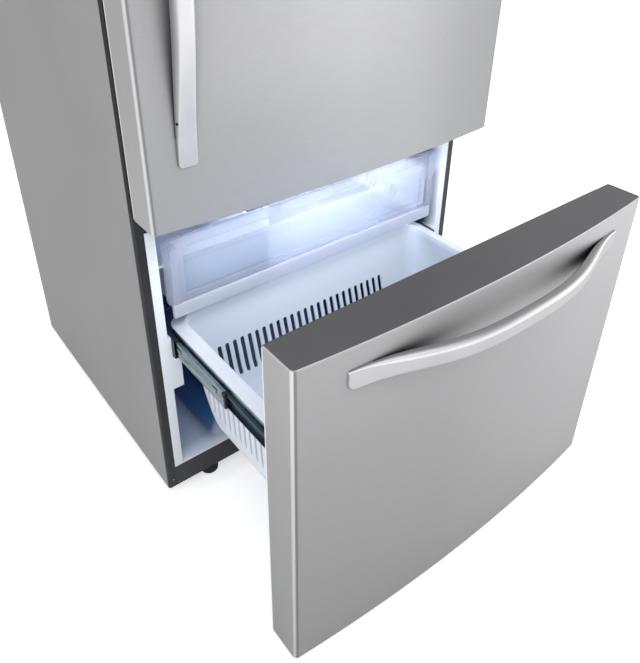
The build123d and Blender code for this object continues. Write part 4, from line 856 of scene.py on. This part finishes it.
def clear_mix(name, through, milky, share, grain_mm, depth_mm, roughness, walls=False):
    """A clear plastic: a share of glossy milky surface, which also lets light glow through from
    behind, over a tinted see-through one. With walls, the tray's side walls are milky all over."""
    made, tree = new_material(name)
    place, shader = grained(tree, {"IOR": 1.5, "Roughness": roughness, "Base Color": linear(milky)},
                            grain_mm, depth_mm)
    clear = add(tree, "ShaderNodeBsdfTransparent", {"Color": linear(through)})
    cloud = add(tree, "ShaderNodeTexNoise", {"Vector": place.outputs["Object"], "Scale": 1000 / HAZE_MM})
    part = between(tree, cloud.outputs["Fac"], *CLOUD_SPAN, share - HAZE, share + HAZE)
    if walls:
        aside = reckoned(tree, "ABSOLUTE", axes(tree, place)["X"])
        part = reckoned(tree, "MAXIMUM", part, between(tree, aside, *TRAY_WALL_X))
    glowing = add(tree, "ShaderNodeBsdfTranslucent", {"Color": linear(milky)})
    body = add(tree, "ShaderNodeMixShader", {0: GLOW_SHARE, 1: shader.outputs[0], 2: glowing.outputs[0]})
    mixed = add(tree, "ShaderNodeMixShader", {0: part, 1: clear.outputs[0], 2: body.outputs[0]})
    output = next(node for node in tree.nodes if node.type == "OUTPUT_MATERIAL")
    tree.links.new(mixed.outputs[0], output.inputs["Surface"])
    return made


clear_plastic = clear_mix("moulded_crystal_polystyrene", "#f0f3f8", "#dfe6f0", 0.2, 30.0, 0.02, 0.12)
tray_plastic = clear_mix("moulded_tray_polystyrene", "#f0f3f8", "#edeff2", 0.2, 30.0, 0.02, 0.12,
                         walls=True)
frosted_plastic = clear_mix("moulded_frosted_polystyrene", "#f0f2f7", "#e2e7f0", 0.28, 0.8, 0.02, 0.25)
rail_plastic = clear_mix("moulded_pearl_polystyrene", "#d9dee8", "#d9dee8", 0.93, 0.8, 0.02, 0.28)
glass = clear_mix("tempered_float_glass", "#f8fcfa", "#dbe8e3", 0.1, 80.0, 0.005, 0.03)
dress(clear_plastic, "door_bins", "left_crisper", "right_crisper")
dress(frosted_plastic, "dairy_flap")
dress(glass, "shelf_glass")

# Upper tray: a clear bin that runs on two moulded guides, with groups of air slots in its sides. Its
# lower edges are rounded, and its rim is turned outwards.
TRAY_RIM = [(346, 16, 368, 6, 595.6), (361, 16, 368, 6, 595.8), (362, 16, 368, 6, 597),
            (362, 16, 368, 6, 599), (361, 16, 368, 6, 600), (344, 18, 366, 5, 600), (343, 19, 365, 4, 599)]
GROUP_Y, SLOT_STEP, SLOT_HALF = (130, 207, 284), 16.5, 3


def bin_rows(half, near, far, corners, floor_z, lower_r, wall, rim, steps):
    """Rows up the outside of a box with rounded lower edges, round its rim and down its inside."""
    turn = np.radians(np.linspace(0, 90, steps))
    bottom = [(half - lower_r * (1 - math.sin(a)), floor_z + lower_r * (1 - math.cos(a))) for a in turn]
    return ([(w, near, far, corners[0], z) for w, z in bottom] + rim
            + [(w - wall, near + wall, far - wall, corners[1], z + wall) for w, z in bottom[::-1]])


tray_rows = bin_rows(346, 16, 368, (6, 4), floor_z=475, lower_r=30, wall=3, rim=TRAY_RIM, steps=9)
side_slots = [block((-400, y - SLOT_HALF, 485), (400, y + SLOT_HALF, 517), 1.5, stack=0)
              for group in GROUP_Y for y in (group - SLOT_STEP, group, group + SLOT_STEP)]
piece("tray_bin", [stacked(tray_rows)], tray_plastic, "upper_tray", "clear_plastic", "tray_body",
      y=FRONT_Y, cuts=side_slots)

# Tray front: a frosted frame with a clear window, end posts with round bosses, and a pearl trim rail
# that snaps over its foot.
WINDOW_ROWS = [(321, 523, 627, 4, 9.0), (321.4, 522.6, 627.4, 4.4, 5.2), (322.4, 521.6, 628.4, 5.4, 4.2),
               (324, 520, 630, 7, 4.0), (360, 508, 648, 7, 4.0), (361.6, 506.6, 649.4, 8.4, 4.8),
               (362, 506, 650, 9, 6.0), (362, 506, 650, 9, 14.0), (361.4, 506.6, 649.4, 8.4, 15.4),
               (360, 508, 648, 7, 16.0), (324, 520, 630, 7, 16.0), (322, 522, 628, 5, 15.4),
               (321, 523, 627, 4, 11.0)]
BOSS_ROWS = [(4, 4.5), (9, 4.5), (9, 1.6), (8, 0.6), (5, 0.4), (4.4, 1.2), (4, 3)]
BOSS_X, BOSS_Z = 344, 636
front_shells = [stacked(WINDOW_ROWS + WINDOW_ROWS[:1], (0, 2, 1), capped=False)]
around = np.radians(np.arange(24) * 15)
for side in (-1, 1):
    front_shells.append(block((side * 336, 1.5, 507), (side * 352, 5, 640), 1.6))
    rows = [[(side * BOSS_X + r * math.cos(a), y, BOSS_Z + r * math.sin(a)) for a in around]
            for r, y in BOSS_ROWS]
    front_shells.append(shell(np.array(rows) * MM))
front_shells.append(block((-346, 12, 475), (346, 16, 508), 0.8))
piece("tray_window_frame", front_shells, frosted_plastic, "upper_tray", "frosted_plastic", "tray_front",
      y=FRONT_Y, sharp=30)
piece("tray_window_pane", [block((-320.9, 9, 523.1), (320.9, 11, 626.9), 0.4)], clear_plastic, "upper_tray",
      "clear_plastic", y=FRONT_Y)
piece("tray_trim_rail", [block((-354, 1.6, 475), (354, 12, 506), 2.6, stack=0)], rail_plastic, "upper_tray",
      "frosted_plastic", y=FRONT_Y)

# Ice bin: a milky box with a rolled rim and a taller front, which stands in the tray's left end. Its
# lower edges are rounded, and its wall is 2.5 mm thick.
ICE_X = -225 * MM
ICE_RIM = [(113, 22, 300, 8, 581), (116, 20, 303, 10, 581.6), (117, 19, 304, 11, 584),
           (116, 20, 303, 10, 586), (112, 24, 299, 7, 586), (110.5, 24.5, 297.5, 6, 584)]
ICE_FRONT = [(112, 22.5, 26, 1.6, 580), (112, 22.5, 26, 1.6, 632), (114, 20, 30, 4, 634),
             (114.5, 19, 31, 5, 637), (114, 20, 30, 4, 639.5), (112, 22, 28, 2.4, 640)]
ice_rows = bin_rows(113, 22, 300, (8, 5.5), floor_z=478, lower_r=25, wall=2.5, rim=ICE_RIM, steps=8)
milky_plastic = clear_mix("moulded_milky_polystyrene", "#e9ecf2", "#eceff4", 0.8, 0.8, 0.02, 0.3)
piece("ice_bin_box", [moved(stacked(rows), ICE_X, 0, 0) for rows in (ice_rows, ICE_FRONT)], milky_plastic,
      "upper_tray", "frosted_plastic", "ice_bin", y=FRONT_Y)

# Lamps: frosted lenses over light-emitting diodes. The one in the freezer is lit, as the drawer is
# open. Two hidden lamps stand in for its light thrown back: up from the tray to the compartment's
# ceiling, and from the drawer's front onto the face of the tray.
LED_PLACE = (70 * MM, FRONT_Y + 130 * MM, 668 * MM)
BOUNCE_PLACE = (-60 * MM, FRONT_Y + 190 * MM, 590 * MM)
FILL_PLACE = (5 * MM, FRONT_Y - 70 * MM, 610 * MM)
FILL_AIM = (5 * MM, FRONT_Y + 100 * MM, 540 * MM)
lens_glow, tree = new_material("lit_frosted_acrylic")
grained(tree, {"IOR": 1.49, "Roughness": 0.4, "Base Color": linear("#dfeaff"),
               "Emission Color": linear("#e4edff"), "Emission Strength": 0.8}, 0.8, 0.02)
dress(lens_glow, "lamp_lenses")
soft_lamp("freezer_diodes", LED_PLACE, (*LED_PLACE[:2], 0), (0.34, 0.16), 2.1, "#eef3ff")
soft_lamp("ceiling_bounce", BOUNCE_PLACE, (*BOUNCE_PLACE[:2], 1), (0.5, 0.2), 0.7, "#cfe0ff", hidden=True)
soft_lamp("tray_fill", FILL_PLACE, FILL_AIM, (0.7, 0.1), 0.62, "#f6f8ff", hidden=True)

# Levelling feet: black moulded pads with a ribbed grip. The stem of each is moulded in one with its
# pad and turns in the hole above it.
foot_plastic = coated("black_moulded_polyethylene", {"IOR": 1.51}, (0.8, 0.05),
                      ("#0e0e10", "#17171a", 12), (0.4, 0.55))
FOOT = [(0.5, 0), (17, 0), (19.6, 1.0), (20.8, 3.4), (21, 8), (21, 15), (20.2, 17.5), (17, 23), (12, 27),
        (9.5, 29), (6, 29.4), (5, 30), (5, 69), (4, 70), (0.5, 70)]
GRIP_Z, GRIP_DEPTH, GRIP_RIBS = (3, 17.5), 0.7, 24
angle = np.radians(np.arange(96) * 3.75)
radius, level = (np.array(part)[:, None] * np.ones(96) for part in zip(*FOOT))
gripped = (level >= GRIP_Z[0]) & (level <= GRIP_Z[1]) & (np.cos(GRIP_RIBS * angle) > 0.3)
radius = np.where(gripped, radius - GRIP_DEPTH, radius)
foot = shell(np.stack([radius * np.cos(angle), radius * np.sin(angle), level], -1) * MM)
for name in ("left_levelling_leg", "right_levelling_leg"):
    low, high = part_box(name)
    piece(f"{name}_pad", [moved(foot, (low.x + high.x) / 2, (low.y + high.y) / 2, 0)], foot_plastic, name,
          "leg_plastic", name, sharp=40)

# Cooling parts: a compressor in black enamel, a painted steel condenser, fans in grey nylon, an
# evaporator of drawn aluminium, and the ice maker's cast aluminium mould.
enamel = coated("black_stoving_enamel", {"IOR": 1.5}, (1.5, 0.03),
                ("#141416", "#1c1c1f", 60), (0.28, 0.4), edge_mm=2.0)
dress(enamel, "compressor", "condenser_coil")
fan_nylon = coated("moulded_grey_nylon", {"IOR": 1.53}, (0.9, 0.03),
                   ("#7c8084", "#85898d", 40), (0.42, 0.52), edge_mm=0.8)
dress(fan_nylon, "evaporator_fan", "condenser_fan", "fan_motors")
aluminium = coated("mill_finish_aluminium", {"Metallic": 1.0}, (0.6, 0.01),
                   ("#b5b8ba", "#c6c9cb", 30), (0.3, 0.42), edge_mm=0.6)
dress(aluminium, "evaporator", "ice_maker", "ice_ejector")
pan_plastic = coated("moulded_grey_polypropylene", {"IOR": 1.49}, (1.0, 0.04),
                     ("#6c6f72", "#75787b", 40), (0.45, 0.55), edge_mm=1.0)
dress(pan_plastic, "drain_pan", "water_valve")

low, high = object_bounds()
